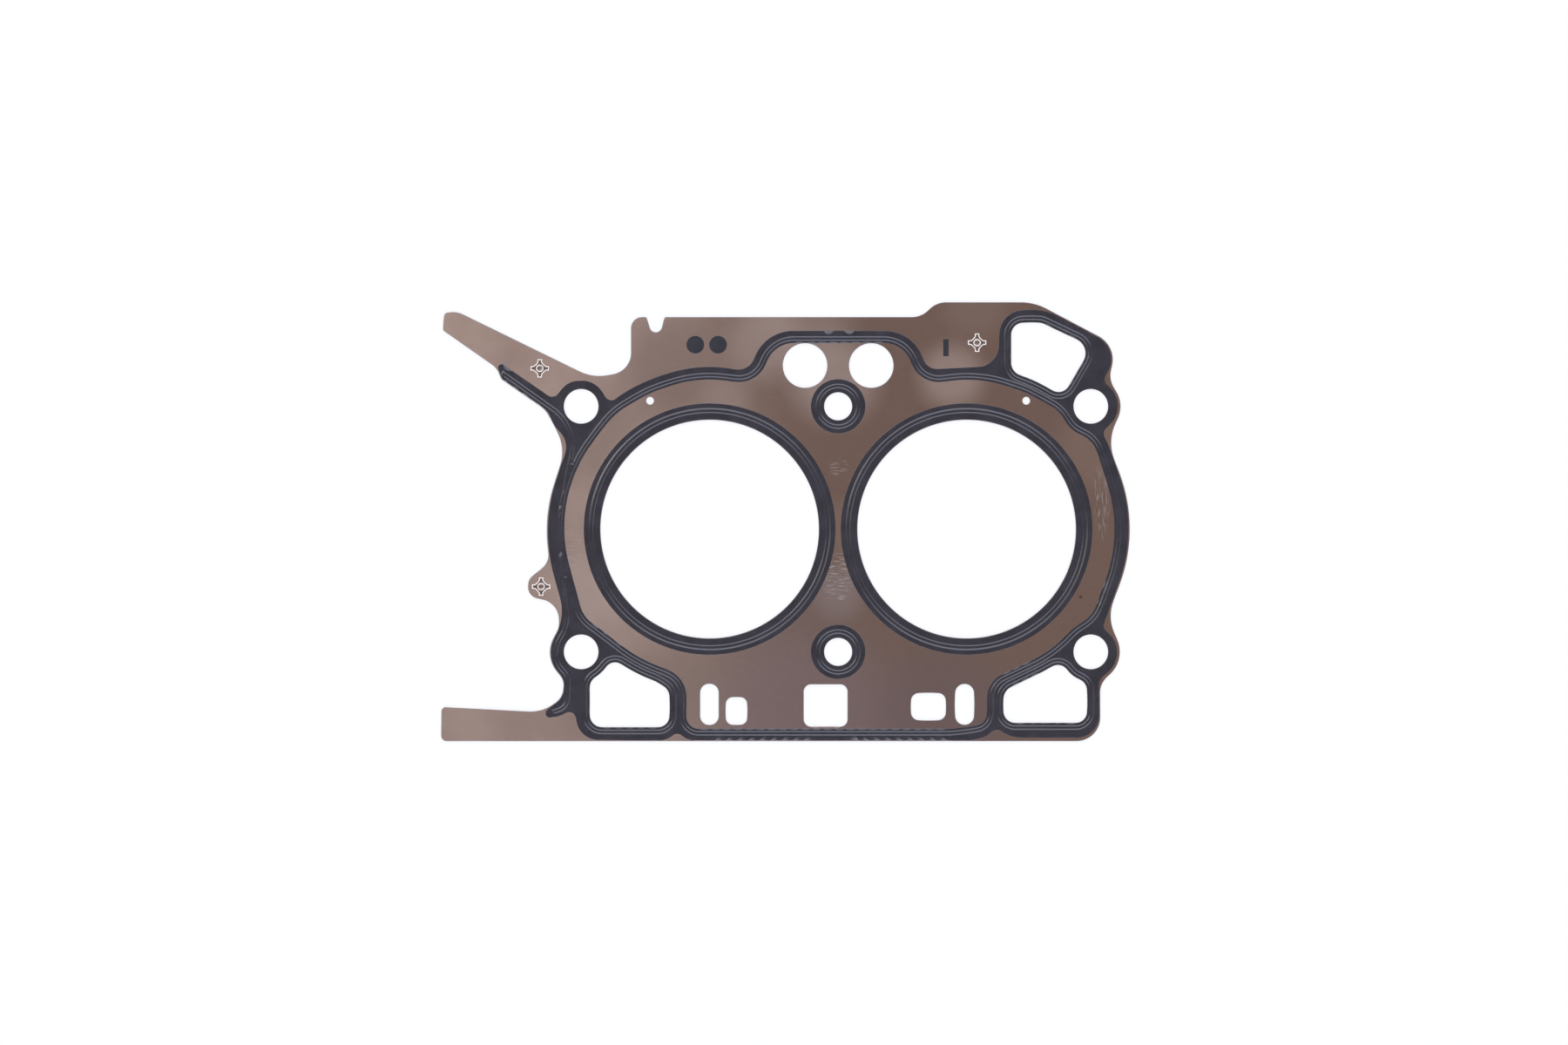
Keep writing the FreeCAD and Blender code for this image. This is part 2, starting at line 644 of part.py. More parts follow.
# Openings
def round_openings():
    """Bars for the bolts, the coolant holes, the locating holes and the eyelets' shanks."""
    bars = []
    for anchor in ("low_left_bolt", "high_left_bolt", "low_right_bolt", "high_right_bolt"):
        bars.append(through_hole(f"{anchor}_hole", f"{anchor}.X", f"{anchor}.Y", "sizes.corner_bolt_radius"))
    for anchor in ("low_centre_bolt", "high_centre_bolt"):
        bars.append(through_hole(f"{anchor}_hole", f"{anchor}.X", f"{anchor}.Y", "sizes.centre_bolt_radius"))
    for side, sign in (("left", "-1"), ("right", "1")):
        middle_x = f"{sign} * sizes.coolant_spread"
        bars.append(through_hole(f"{side}_coolant_hole", middle_x, "sizes.coolant_rise", "sizes.coolant_radius"))
        outer_x = f"{side}_bore.X + {sign} mm * sizes.locator_spread"
        bars.append(through_hole(f"{side}_locator_hole", outer_x, "sizes.locator_rise", "sizes.locator_radius"))
    for name, (anchor, dx, dy) in EYELETS.items():
        radius = "sizes.shank_radius + sizes.shank_clearance"
        bars.append(through_hole(f"{name}_hole", f"{anchor}.X + {dx} mm", f"{anchor}.Y + {dy} mm", radius))
    return bars


def shaped_openings():
    """Prisms for the windows and the large passages."""
    blocks = []
    for name, window in WINDOWS.items():
        blocks.append(through_prism(f"{name}_prism", rounded_sketch(name, window_corners(window))))
    for name, corners in PASSAGES.items():
        blocks.append(through_prism(f"{name}_prism", rounded_sketch(name, corners)))
    return blocks


def bore_openings(prefix, radius_formula):
    """Bars for the two bores."""
    return [
        through_hole(f"{prefix}_{anchor}", f"{anchor}.X", f"{anchor}.Y", radius_formula)
        for anchor in ("left_bore", "right_bore")
    ]


# Sheets and prints
def carrier_layer(plate, openings):
    """The flat sheet in the middle, cut back around the bores for the stoppers."""
    blank = prism("carrier_blank", plate, CARRIER_FACE, "sizes.carrier_thickness")
    bores = bore_openings("carrier", "sizes.bore_radius - sizes.stopper_lip + sizes.stopper_width")
    return cut("carrier_layer", blank, gather("carrier_openings", openings + bores))


def upper_layer(plate, beads, openings):
    """The upper embossed sheet: each bead stands on top and is hollow below."""
    blank = prism("upper_blank", plate, SHEET_FACE, "sizes.sheet_thickness")
    pierced = cut("upper_pierced", blank, openings)
    raised = fuse("upper_raised", [pierced, gather("upper_crests", [beads], TOP_FACE)])
    return cut("upper_layer", raised, gather("upper_grooves", [beads], SHEET_FACE))


def upper_track_coat(plate, beads, openings):
    """Rubber printed over the tracks, following the beads."""
    outer = prism("print_area", doc.getObject("print_outer_edge"), TOP_FACE, "sizes.coat_thickness")
    limit = through_prism("print_limit", parallel_outline("print_limit_edge", plate, "-sizes.edge_margin"))
    area = doc.addObject("Part::Common", "print_trimmed")
    area.Base = outer
    area.Tool = limit
    ring = cut("print_ring", area, through_prism("print_inside", doc.getObject("print_inner_edge")))
    pierced = cut("print_pierced", ring, openings)
    raised = fuse("print_raised", [pierced, gather("print_crests", [beads], PRINT_FACE)])
    return cut("upper_track_coat", raised, gather("print_seat", [beads], TOP_FACE))


# Small parts, each built about its own axis and then moved to its place
def origin_plane(body, role):
    """One of the planes of a body's own origin."""
    return next(feature for feature in body.Origin.OriginFeatures if feature.Role == role)


def body_at(name, anchor, dx=0.0, dy=0.0):
    """A body whose upright axis stands at a place measured from an anchor."""
    body = doc.addObject("PartDesign::Body", name)
    body.setExpression(".Placement.Base.x", f"{anchor}.X + {dx} mm")
    body.setExpression(".Placement.Base.y", f"{anchor}.Y + {dy} mm")
    return body


def attached_sketch(body, name, role, height_formula="0"):
    """A sketch on one of the body's origin planes, lifted from it by a height."""
    sketch = body.newObject("Sketcher::SketchObject", f"{body.Name}_{name}")
    sketch.AttachmentSupport = [(origin_plane(body, role), "")]
    sketch.MapMode = "FlatFace"
    sketch.setExpression(".AttachmentOffset.Base.z", height_formula)
    return sketch


def turn(body, corner_formulas):
    """Turn a polygon of radii and heights about the body's axis."""
    section = attached_sketch(body, "section", "XZ_Plane")
    polygon(section, corner_formulas)
    turned = body.newObject("PartDesign::Revolution", f"{body.Name}_turned")
    turned.Profile = section
    turned.ReferenceAxis = (section, ["V_Axis"])
    turned.Angle = 360
    return turned


def pad(body, sketch, length_formula):
    """Extrude a sketch of the body upwards."""
    block = body.newObject("PartDesign::Pad", f"{sketch.Name}_pad")
    block.Profile = sketch
    block.setExpression("Length", length_formula)
    return block


def circle(sketch, radius_formula):
    """Draw a circle about the sketch's origin."""
    index = sketch.addGeometry(Part.Circle(Vector(0, 0, 0), Vector(0, 0, 1), 1), False)
    sketch.addConstraint(Sketcher.Constraint("Coincident", index, 3, -1, 1))
    radius = sketch.addConstraint(Sketcher.Constraint("Radius", index, 1))
    sketch.setExpression(f"Constraints[{radius}]", radius_formula)


def stopper_ring(name, anchor):
    """The ring in the carrier's bore that stops the beads from being crushed flat."""
    body = body_at(name, anchor)
    inner = "sizes.bore_radius - sizes.stopper_lip"
    outer = f"{inner} + sizes.stopper_width"
    low = f"{CARRIER_FACE} - sizes.stopper_rise"
    high = f"{SHEET_FACE} + sizes.stopper_rise"
    turn(body, [(inner, low), (outer, low), (outer, high), (inner, high)])
    return body


def lifted_profile(profile, underside):
    """Close a print's section: its upper side, then back along its underside."""
    return underside + profile[::-1]


def bore_coat(name, anchor):
    """Rubber printed over the bead around a bore."""
    body = body_at(name, anchor)
    edge = "sizes.bore_radius + sizes.bore_print_width"
    underside = bore_bead_profile(TOP_FACE) + [(edge, TOP_FACE)]
    upper_side = bore_bead_profile(PRINT_FACE) + [(edge, PRINT_FACE)]
    turn(body, lifted_profile(upper_side, underside))
    return body


def bolt_coat(name, anchor):
    """Rubber printed over the bead around a centre bolt."""
    body = body_at(name, anchor)
    ends = ["sizes.centre_bolt_radius", "sizes.bolt_print_radius"]
    underside = [(ends[0], TOP_FACE)] + bolt_bead_profile(TOP_FACE) + [(ends[1], TOP_FACE)]
    upper_side = [(ends[0], PRINT_FACE)] + bolt_bead_profile(PRINT_FACE) + [(ends[1], PRINT_FACE)]
    turn(body, lifted_profile(upper_side, underside))
    return body


def star_outline(sketch):
    """Draw a four-armed star with square arm ends and hollow sides between the arms."""
    reach = size("star_reach")
    half_width = size("star_arm_width") / 2
    neck = reach - size("star_arm_length")
    bulge_radius = size("star_side_radius")
    ends = [Vector(neck, -half_width, 0), Vector(reach, -half_width, 0)]
    ends += [Vector(reach, half_width, 0), Vector(neck, half_width, 0)]
    quarter_turns = [Rotation(Vector(0, 0, 1), 90 * i) for i in range(4)]
    corners = [turn_by.multVec(end) for turn_by in quarter_turns for end in ends]
    half_chord = corners[3].distanceToPoint(corners[4]) / 2
    sagitta = bulge_radius - math.sqrt(bulge_radius**2 - half_chord**2)
    edges = []
    for i, corner in enumerate(corners):
        after = corners[(i + 1) % len(corners)]
        if i % 4 == 3:
            middle = (corner + after) / 2
            hollow = middle - Vector(middle).normalize() * sagitta
            edges.append(arc_through(corner, hollow, after))
        else:
            edges.append(Part.LineSegment(corner, after))
    index = sketch.addGeometry(edges, False)
    formulas = star_corner_formulas()
    for i, (across_formula, up_formula) in enumerate(formulas):
        near = end_number(sketch, index[i], corners[i])
        behind = end_number(sketch, index[i - 1], corners[i])
        sketch.addConstraint(Sketcher.Constraint("Coincident", index[i - 1], behind, index[i], near))
        across = sketch.addConstraint(Sketcher.Constraint("DistanceX", -1, 1, index[i], near, corners[i].x))
        up = sketch.addConstraint(Sketcher.Constraint("DistanceY", -1, 1, index[i], near, corners[i].y))
        sketch.setExpression(f"Constraints[{across}]", across_formula)
        sketch.setExpression(f"Constraints[{up}]", up_formula)
        if i % 4 == 3:
            radius = sketch.addConstraint(Sketcher.Constraint("Radius", index[i], bulge_radius))
            sketch.setExpression(f"Constraints[{radius}]", "sizes.star_side_radius")


def star_corner_formulas():
    """Formulas of the star's sixteen corners, arm by arm."""
    reach = "sizes.star_reach"
    neck = "(sizes.star_reach - sizes.star_arm_length)"
    half = "sizes.star_arm_width / 2"
    return [
        (neck, f"-{half}"), (reach, f"-{half}"), (reach, half), (neck, half),
        (half, neck), (half, reach), (f"-{half}", reach), (f"-{half}", neck),
        (f"-{neck}", half), (f"-{reach}", half), (f"-{reach}", f"-{half}"), (f"-{neck}", f"-{half}"),
        (f"-{half}", f"-{neck}"), (f"-{half}", f"-{reach}"), (half, f"-{reach}"), (half, f"-{neck}"),
    ]


def eyelet(name, anchor, dx, dy):
    """A closed eyelet: round foot below, shank through the sheets, star-shaped head on top."""
    body = body_at(name, anchor, dx, dy)
    head_top = f"{TOP_FACE} + sizes.star_thickness"
    cup_floor = f"{head_top} - sizes.cup_depth"
    turn(body, [
        ("0", f"{LOWER_FACE} - sizes.foot_thickness"),
        ("sizes.foot_radius", f"{LOWER_FACE} - sizes.foot_thickness"),
        ("sizes.foot_radius", LOWER_FACE),
        ("sizes.shank_radius", LOWER_FACE),
        ("sizes.shank_radius", head_top),
        ("sizes.cup_radius", head_top),
        ("sizes.cup_radius", cup_floor),
        ("0", cup_floor),
    ])
    star = attached_sketch(body, "star", "XY_Plane", TOP_FACE)
    star_outline(star)
    circle(star, "(sizes.shank_radius + sizes.cup_radius) / 2")
    pad(body, star, "sizes.star_thickness")
    return body


def printed_dot(name, anchor, dx, dy):
    """A round printed mark."""
    body = body_at(name, anchor, dx, dy)
    outline = attached_sketch(body, "outline", "XY_Plane", TOP_FACE)
    circle(outline, "sizes.dot_radius")
    pad(body, outline, "sizes.coat_thickness")
    return body


def printed_bar(name, anchor, dx, dy):
    """A plain upright bar, printed as the orientation mark."""
    body = body_at(name, anchor, dx, dy)
    outline = attached_sketch(body, "outline", "XY_Plane", TOP_FACE)
    half_width = "sizes.bar_width / 2"
    half_length = "sizes.bar_length / 2"
    polygon(outline, [
        (f"-{half_width}", f"-{half_length}"),
        (half_width, f"-{half_length}"),
        (half_width, half_length),
        (f"-{half_width}", half_length),
    ])
    pad(body, outline, "sizes.coat_thickness")
    return body


def build():
    """Build every piece and return them all."""
    write_sizes()
    add_anchors()
    plate = rounded_sketch("plate_outline", PLATE_OUTLINE)
    rounded_sketch("print_outer_edge", PRINT_OUTER_EDGE)
    rounded_sketch("print_inner_edge", PRINT_INNER_EDGE)
    openings = round_openings() + shaped_openings()
    doc.recompute()
    tracks = track_beads()
    sheet_openings = gather("sheet_openings", openings + bore_openings("sheet", "sizes.bore_radius"))
    pieces = [carrier_layer(plate, openings)]
    upper = [
        upper_layer(plate, fuse("all_beads", [tracks] + ring_beads()), sheet_openings),
        upper_track_coat(plate, tracks, sheet_openings),
        bore_coat("upper_bore_coat_left", "left_bore"),
        bore_coat("upper_bore_coat_right", "right_bore"),
        bolt_coat("upper_bolt_coat_low", "low_centre_bolt"),
        bolt_coat("upper_bolt_coat_high", "high_centre_bolt"),
    ]
    pieces += upper
    pieces += [mirror_below(piece.Name.replace("upper", "lower"), piece) for piece in upper]
    pieces.append(stopper_ring("stopper_ring_left", "left_bore"))
    pieces.append(stopper_ring("stopper_ring_right", "right_bore"))
    pieces += [eyelet(name, *place) for name, place in EYELETS.items()]
    pieces += [printed_dot(name, *place) for name, place in DOTS.items()]
    pieces.append(printed_bar("printed_bar", *BAR_PLACE))
    doc.recompute()
    return pieces


def check(pieces):
    """Stop if any object failed or any piece is not a sound solid."""
    for item in doc.Objects:
        if "Invalid" in item.State or "Error" in item.State:
            raise RuntimeError(f"{item.Name} failed: {item.State}")
    for piece in pieces:
        shape = piece.Shape
        if shape.isNull() or not shape.isValid() or len(shape.Solids) != 1:
            raise RuntimeError(f"{piece.Label} is not one sound solid")


def export(pieces):
    """Write each piece to its own file, named by its label."""
    os.makedirs("parts", exist_ok=True)
    for piece in pieces:
        piece.Shape.exportStep(f"parts/{piece.Label}.step")
        box = piece.Shape.BoundBox
        print(f"{piece.Label}: {box.XLength:.2f} x {box.YLength:.2f} x {box.ZLength:.3f}, "
              f"z {box.ZMin:.3f} to {box.ZMax:.3f}, {piece.Shape.Volume:.1f} mm3")


all_pieces = build()
check(all_pieces)
export(all_pieces)
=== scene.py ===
import json
import logging
import math
from dataclasses import dataclass
from enum import Enum

import bpy
import numpy as np
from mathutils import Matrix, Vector
from mathutils.geometry import delaunay_2d_cdt


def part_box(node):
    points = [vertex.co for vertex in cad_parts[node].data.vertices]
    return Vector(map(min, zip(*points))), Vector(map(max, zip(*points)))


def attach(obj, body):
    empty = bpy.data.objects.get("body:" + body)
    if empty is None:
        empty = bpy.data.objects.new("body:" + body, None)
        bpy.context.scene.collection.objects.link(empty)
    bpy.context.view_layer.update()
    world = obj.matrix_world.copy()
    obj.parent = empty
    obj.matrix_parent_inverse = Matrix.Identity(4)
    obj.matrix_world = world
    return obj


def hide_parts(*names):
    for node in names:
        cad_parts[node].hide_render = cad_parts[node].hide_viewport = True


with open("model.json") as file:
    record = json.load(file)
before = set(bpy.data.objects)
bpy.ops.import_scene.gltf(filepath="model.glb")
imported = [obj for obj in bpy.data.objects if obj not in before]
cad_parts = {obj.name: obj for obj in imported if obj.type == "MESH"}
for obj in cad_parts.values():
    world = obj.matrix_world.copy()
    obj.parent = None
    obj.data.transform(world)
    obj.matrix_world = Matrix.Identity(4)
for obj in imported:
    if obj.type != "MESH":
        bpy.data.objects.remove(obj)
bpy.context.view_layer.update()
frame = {"nodes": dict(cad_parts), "record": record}
log = logging.getLogger("gasket")

# One millimetre in metres. Plan lines and heights are worked out in millimetres.
MM = 0.001

# How closely the solids' round outlines were drawn: a chord lies at most this far from its arc, in mm
CHORD_SAG = 0.09
# A bend of an outline sharper than this, in radians, is a real corner
CORNER_TURN = 0.6
# Places handled at once when each is compared with the stretches of an outline
BATCH = 400
# Distances from an outline are worked out no farther than this, in mm
FAR = 3.0
# Smallest distance between two places that stay apart, in mm
MERGE_GAP = 1e-4
# Longest pieces of an outline: round ones, straight ones, and straight ones of a bead's foot, in mm
ROUND_PIECE = 0.7
STRAIGHT_PIECE = 5.0
FOOT_PIECE = 2.5
# A row beside a line leaves out places nearer to any stretch than this share of the row's distance
CLEAR_SHARE = 0.97
# Corners inside a layer stay at least this far from its edge, in mm
EDGE_CLEARANCE = 0.03
# The height part of a unit normal past which a face looks up, and past which it is level
LOOKS_UP = 0.3
LIES_LEVEL = 0.999
# Heights in mm that differ by less than this are the same
SAME_HEIGHT = 0.001
# The span that a soft noise seldom leaves
NOISE_SPAN = (0.35, 0.65)
# Share of a bump's height that shows
RELIEF = 0.2

# Short names for the types that come up often
Array = np.ndarray
Tree = bpy.types.NodeTree
Node = bpy.types.Node
Socket = bpy.types.NodeSocket
Piece = bpy.types.Object
Finish = bpy.types.Material


def linear(code: str) -> tuple[float, float, float, float]:
    """An sRGB hex colour as linear red, green, blue and alpha.

    Args:
        code: the colour as "#rrggbb".

    Returns:
        The four channels, each part below 0.04045 divided by 12.92 and the rest raised to 2.4.
    """
    parts = [int(code[i:i + 2], 16) / 255 for i in (1, 3, 5)]
    red, green, blue = (p / 12.92 if p <= 0.04045 else ((p + 0.055) / 1.055) ** 2.4 for p in parts)
    return red, green, blue, 1.0


def eased(share: Array) -> Array:
    """Half a cosine wave: 0 at a share of 0, 1 from a share of 1, level at both."""
    return 0.5 - 0.5 * np.cos(np.pi * np.clip(share, 0.0, 1.0))


def radii_from(axis: Array, places: Array) -> Array:
    """Distance of each place in plan from an upright axis, in mm."""
    return np.hypot(*(places - axis).T)


def bore_axis(side: str) -> Array:
    """Place in plan of the left or the right bore, in mm, from the record's mount there."""
    mounts = frame["record"]["mounts"]
    place = next(entry["pos_m"] for entry in mounts if entry["name"] == f"{side}_bore")
    return np.array(place[:2]) / MM


class Side(Enum):
    """Which half of the stack a sheet or a print belongs to."""

    UPPER = "upper"
    LOWER = "lower"


# Lines in plan
@dataclass(frozen=True)
class PlanLines:
    """Closed lines in plan: places in mm, and directed stretches with their inside on the left."""

    points: Array
    segments: Array

    def starts(self) -> Array:
        """Place where each stretch starts."""
        return self.points[self.segments[:, 0]]

    def ends(self) -> Array:
        """Place where each stretch ends."""
        return self.points[self.segments[:, 1]]

    def followers(self) -> Array:
        """Number of the stretch that goes on from the end of each stretch."""
        at_start = np.zeros(len(self.points), int)
        at_start[self.segments[:, 0]] = np.arange(len(self.segments))
        return at_start[self.segments[:, 1]]

    def smoothed(self, gap: float, straight_gap: float) -> "PlanLines":
        """The same lines with their chords bent back to arcs and cut into short pieces.

        Each chord becomes the cubic with the chord's end places whose end directions are those of
        the circle through the end and its two neighbours: the turn there is shared out by length.
        A chord too long to be part of an arc stays straight and lends its direction to its ends.

        Args:
            gap: longest piece of a round stretch, in mm.
            straight_gap: longest piece of a straight stretch, in mm.

        Returns:
            The finer lines.
        """
        count = len(self.segments)
        after = self.followers()
        before = np.zeros(count, int)
        before[after] = np.arange(count)
        chord = self.ends() - self.starts()
        length = np.hypot(chord[:, 0], chord[:, 1])
        heading = np.arctan2(chord[:, 1], chord[:, 0])
        turn = (heading[after] - heading + np.pi) % (2 * np.pi) - np.pi
        sharpest = np.maximum(abs(turn), abs(turn[before]))
        straight = length * sharpest / 8 > CHORD_SAG
        corner = abs(turn) > CORNER_TURN
        shared = turn * np.where(straight[after], 1.0, length / (length + length[after]))
        end_heading = heading + np.where(straight | corner, 0.0, shared)
        start_heading = np.where(straight | corner[before], heading, end_heading[before])
        pieces = np.ceil(length / np.where(straight, straight_gap, gap)).astype(int)
        owner = np.repeat(np.arange(count), pieces)
        first = np.cumsum(pieces) - pieces
        t = ((np.arange(len(owner)) - first[owner]) / pieces[owner])[:, None]
        leave = np.column_stack([np.cos(start_heading), np.sin(start_heading)])[owner]
        arrive = np.column_stack([np.cos(end_heading), np.sin(end_heading)])[owner]
        reach = length[owner][:, None]
        points = (2 * t**3 - 3 * t**2 + 1) * self.starts()[owner] + (t**3 - 2 * t**2 + t) * reach * leave
        points += (3 * t**2 - 2 * t**3) * self.ends()[owner] + (t**3 - t**2) * reach * arrive
        following = np.arange(len(owner)) + 1
        following[first + pieces - 1] = first[after]
        return PlanLines(points, np.column_stack([np.arange(len(owner)), following]))

    def beside(self, distance: float) -> Array:
        """Places at a distance from the lines, on their left or, if it is negative, their right.

        Each is its line's place moved along the mean of the two stretches' normals there. A place
        that comes nearer than that to another stretch is left out.

        Args:
            distance: the distance in mm.

        Returns:
            The places, in mm.
        """
        chord = self.ends() - self.starts()
        normal = np.column_stack([-chord[:, 1], chord[:, 0]]) / np.hypot(chord[:, 0], chord[:, 1])[:, None]
        mean = np.zeros_like(self.points)
        mean[self.segments[:, 0]] += normal
        mean[self.segments[:, 1]] += normal
        mean /= np.hypot(mean[:, 0], mean[:, 1])[:, None]
        row = self.points + mean * distance
        return row[self.distance(row) > CLEAR_SHARE * abs(distance)]

    def distance(self, places: Array) -> Array:
        """How far each place is from the nearest stretch: to its foot on it, held between its ends.

        Args:
            places: places in plan, in mm.

        Returns:
            One distance for each place, in mm, FAR where it is farther than that.
        """
        nearest = np.full(len(places), FAR**2)
        for batch, near in self.neighbours(places, 0, FAR):
            start = self.starts()[near]
            chord = self.ends()[near] - start
            x = places[batch, 0, None] - start[:, 0]
            y = places[batch, 1, None] - start[:, 1]
            share = np.clip((x * chord[:, 0] + y * chord[:, 1]) / (chord**2).sum(axis=1), 0.0, 1.0)
            gap = (x - share * chord[:, 0]) ** 2 + (y - share * chord[:, 1]) ** 2
            nearest[batch] = np.minimum(nearest[batch], gap.min(axis=1, initial=FAR**2))
        return np.sqrt(nearest)

    def neighbours(
        self, places: Array, across: int, reach: float,
    ) -> list[tuple[Array, Array]]:
        """Batches of places in order along one direction, each with the stretches that come near it.

        Args:
            places: places in plan, in mm.
            across: 0 to sort along X, 1 along Y.
            reach: how near a stretch has to come in that direction, in mm.

        Returns:
            Pairs of the places' numbers and the stretches' numbers.
        """
        low = np.minimum(self.starts()[:, across], self.ends()[:, across]) - reach
        high = np.maximum(self.starts()[:, across], self.ends()[:, across]) + reach
        batches = np.array_split(np.argsort(places[:, across]), max(1, len(places) // BATCH))
        return [
            (batch, np.flatnonzero((low <= places[batch[-1], across]) & (high >= places[batch[0], across])))
            for batch in batches if len(batch)
        ]

    def holds(self, places: Array) -> Array:
        """Whether each place is inside: a ray from it along +X crosses the lines an odd number of times.

        Args:
            places: places in plan, in mm.

        Returns:
            True or False for each place.
        """
        inside = np.zeros(len(places), bool)
        for batch, near in self.neighbours(places, 1, 0.0):
            start = self.starts()[near]
            end = self.ends()[near]
            rise = end[:, 1] - start[:, 1]
            lean = np.where(rise == 0, 0.0, (end[:, 0] - start[:, 0]) / np.where(rise == 0, 1.0, rise))
            y = places[batch, 1, None]
            spans = (start[:, 1] > y) != (end[:, 1] > y)
            crossed = places[batch, 0, None] < start[:, 0] + (y - start[:, 1]) * lean
            inside[batch] = (spans & crossed).sum(axis=1) % 2 == 1
        return inside

    def kept(self, keep: Array) -> "PlanLines":
        """Only the marked stretches."""
        used, index = np.unique(self.segments[keep], return_inverse=True)
        return PlanLines(self.points[used], index.reshape(-1, 2))


@dataclass(frozen=True)
class CadSkin:
    """The surface of a CAD node in mm, with the vertices that lie in one place made one."""

    points: Array
    faces: Array
    uprightness: Array

    @classmethod
    def of(cls, node: str) -> "CadSkin":
        """Read a node's triangles.

        Args:
            node: the node's name.

        Returns:
            Its places, its triangles and the height part of each triangle's unit normal.
        """
        mesh = frame["nodes"][node].data
        places = np.empty(3 * len(mesh.vertices))
        mesh.vertices.foreach_get("co", places)
        corners = np.empty(3 * len(mesh.polygons), np.int32)
        mesh.polygons.foreach_get("vertices", corners)
        points, index = np.unique(np.round(places.reshape(-1, 3) / MM, 4), axis=0, return_inverse=True)
        faces = index.ravel()[corners].reshape(-1, 3)
        first, second, third = (points[faces[:, i]] for i in range(3))
        across = np.cross(second - first, third - first)
        area = np.linalg.norm(across, axis=1)
        real = area > 0
        return cls(points, faces[real], across[real, 2] / area[real])

    def rim(self, marked: Array) -> PlanLines:
        """Lines round the marked faces: their directed edges that no other marked face runs back along.

        Args:
            marked: True or False for each face.

        Returns:
            The lines in plan, with the marked faces on their left.
        """
        edges = self.faces[marked][:, [0, 1, 1, 2, 2, 0]].reshape(-1, 2)
        there = edges[:, 0] * len(self.points) + edges[:, 1]
        back = edges[:, 1] * len(self.points) + edges[:, 0]
        outer = edges[~np.isin(there, back)]
        used, index = np.unique(outer, return_inverse=True)
        return PlanLines(self.points[used, :2], index.reshape(-1, 2))

    def upper_faces(self) -> Array:
        """Which faces look up, the slopes of the beads among them."""
        return self.uprightness > LOOKS_UP

    def flat_faces(self) -> Array:
        """Which faces lie level at the height that most of the upper side has."""
        top = self.points[self.faces, 2]
        level = self.upper_faces() & (np.ptp(top, axis=1) < SAME_HEIGHT)
        return level & (abs(top[:, 0] - self.level()) < SAME_HEIGHT)

    def level(self) -> float:
        """Height that most of the upper side has, in mm."""
        level = self.uprightness > LIES_LEVEL
        heights = np.round(self.points[self.faces[level, 0], 2], 3)
        values, counts = np.unique(heights, return_counts=True)
        return float(values[counts.argmax()])


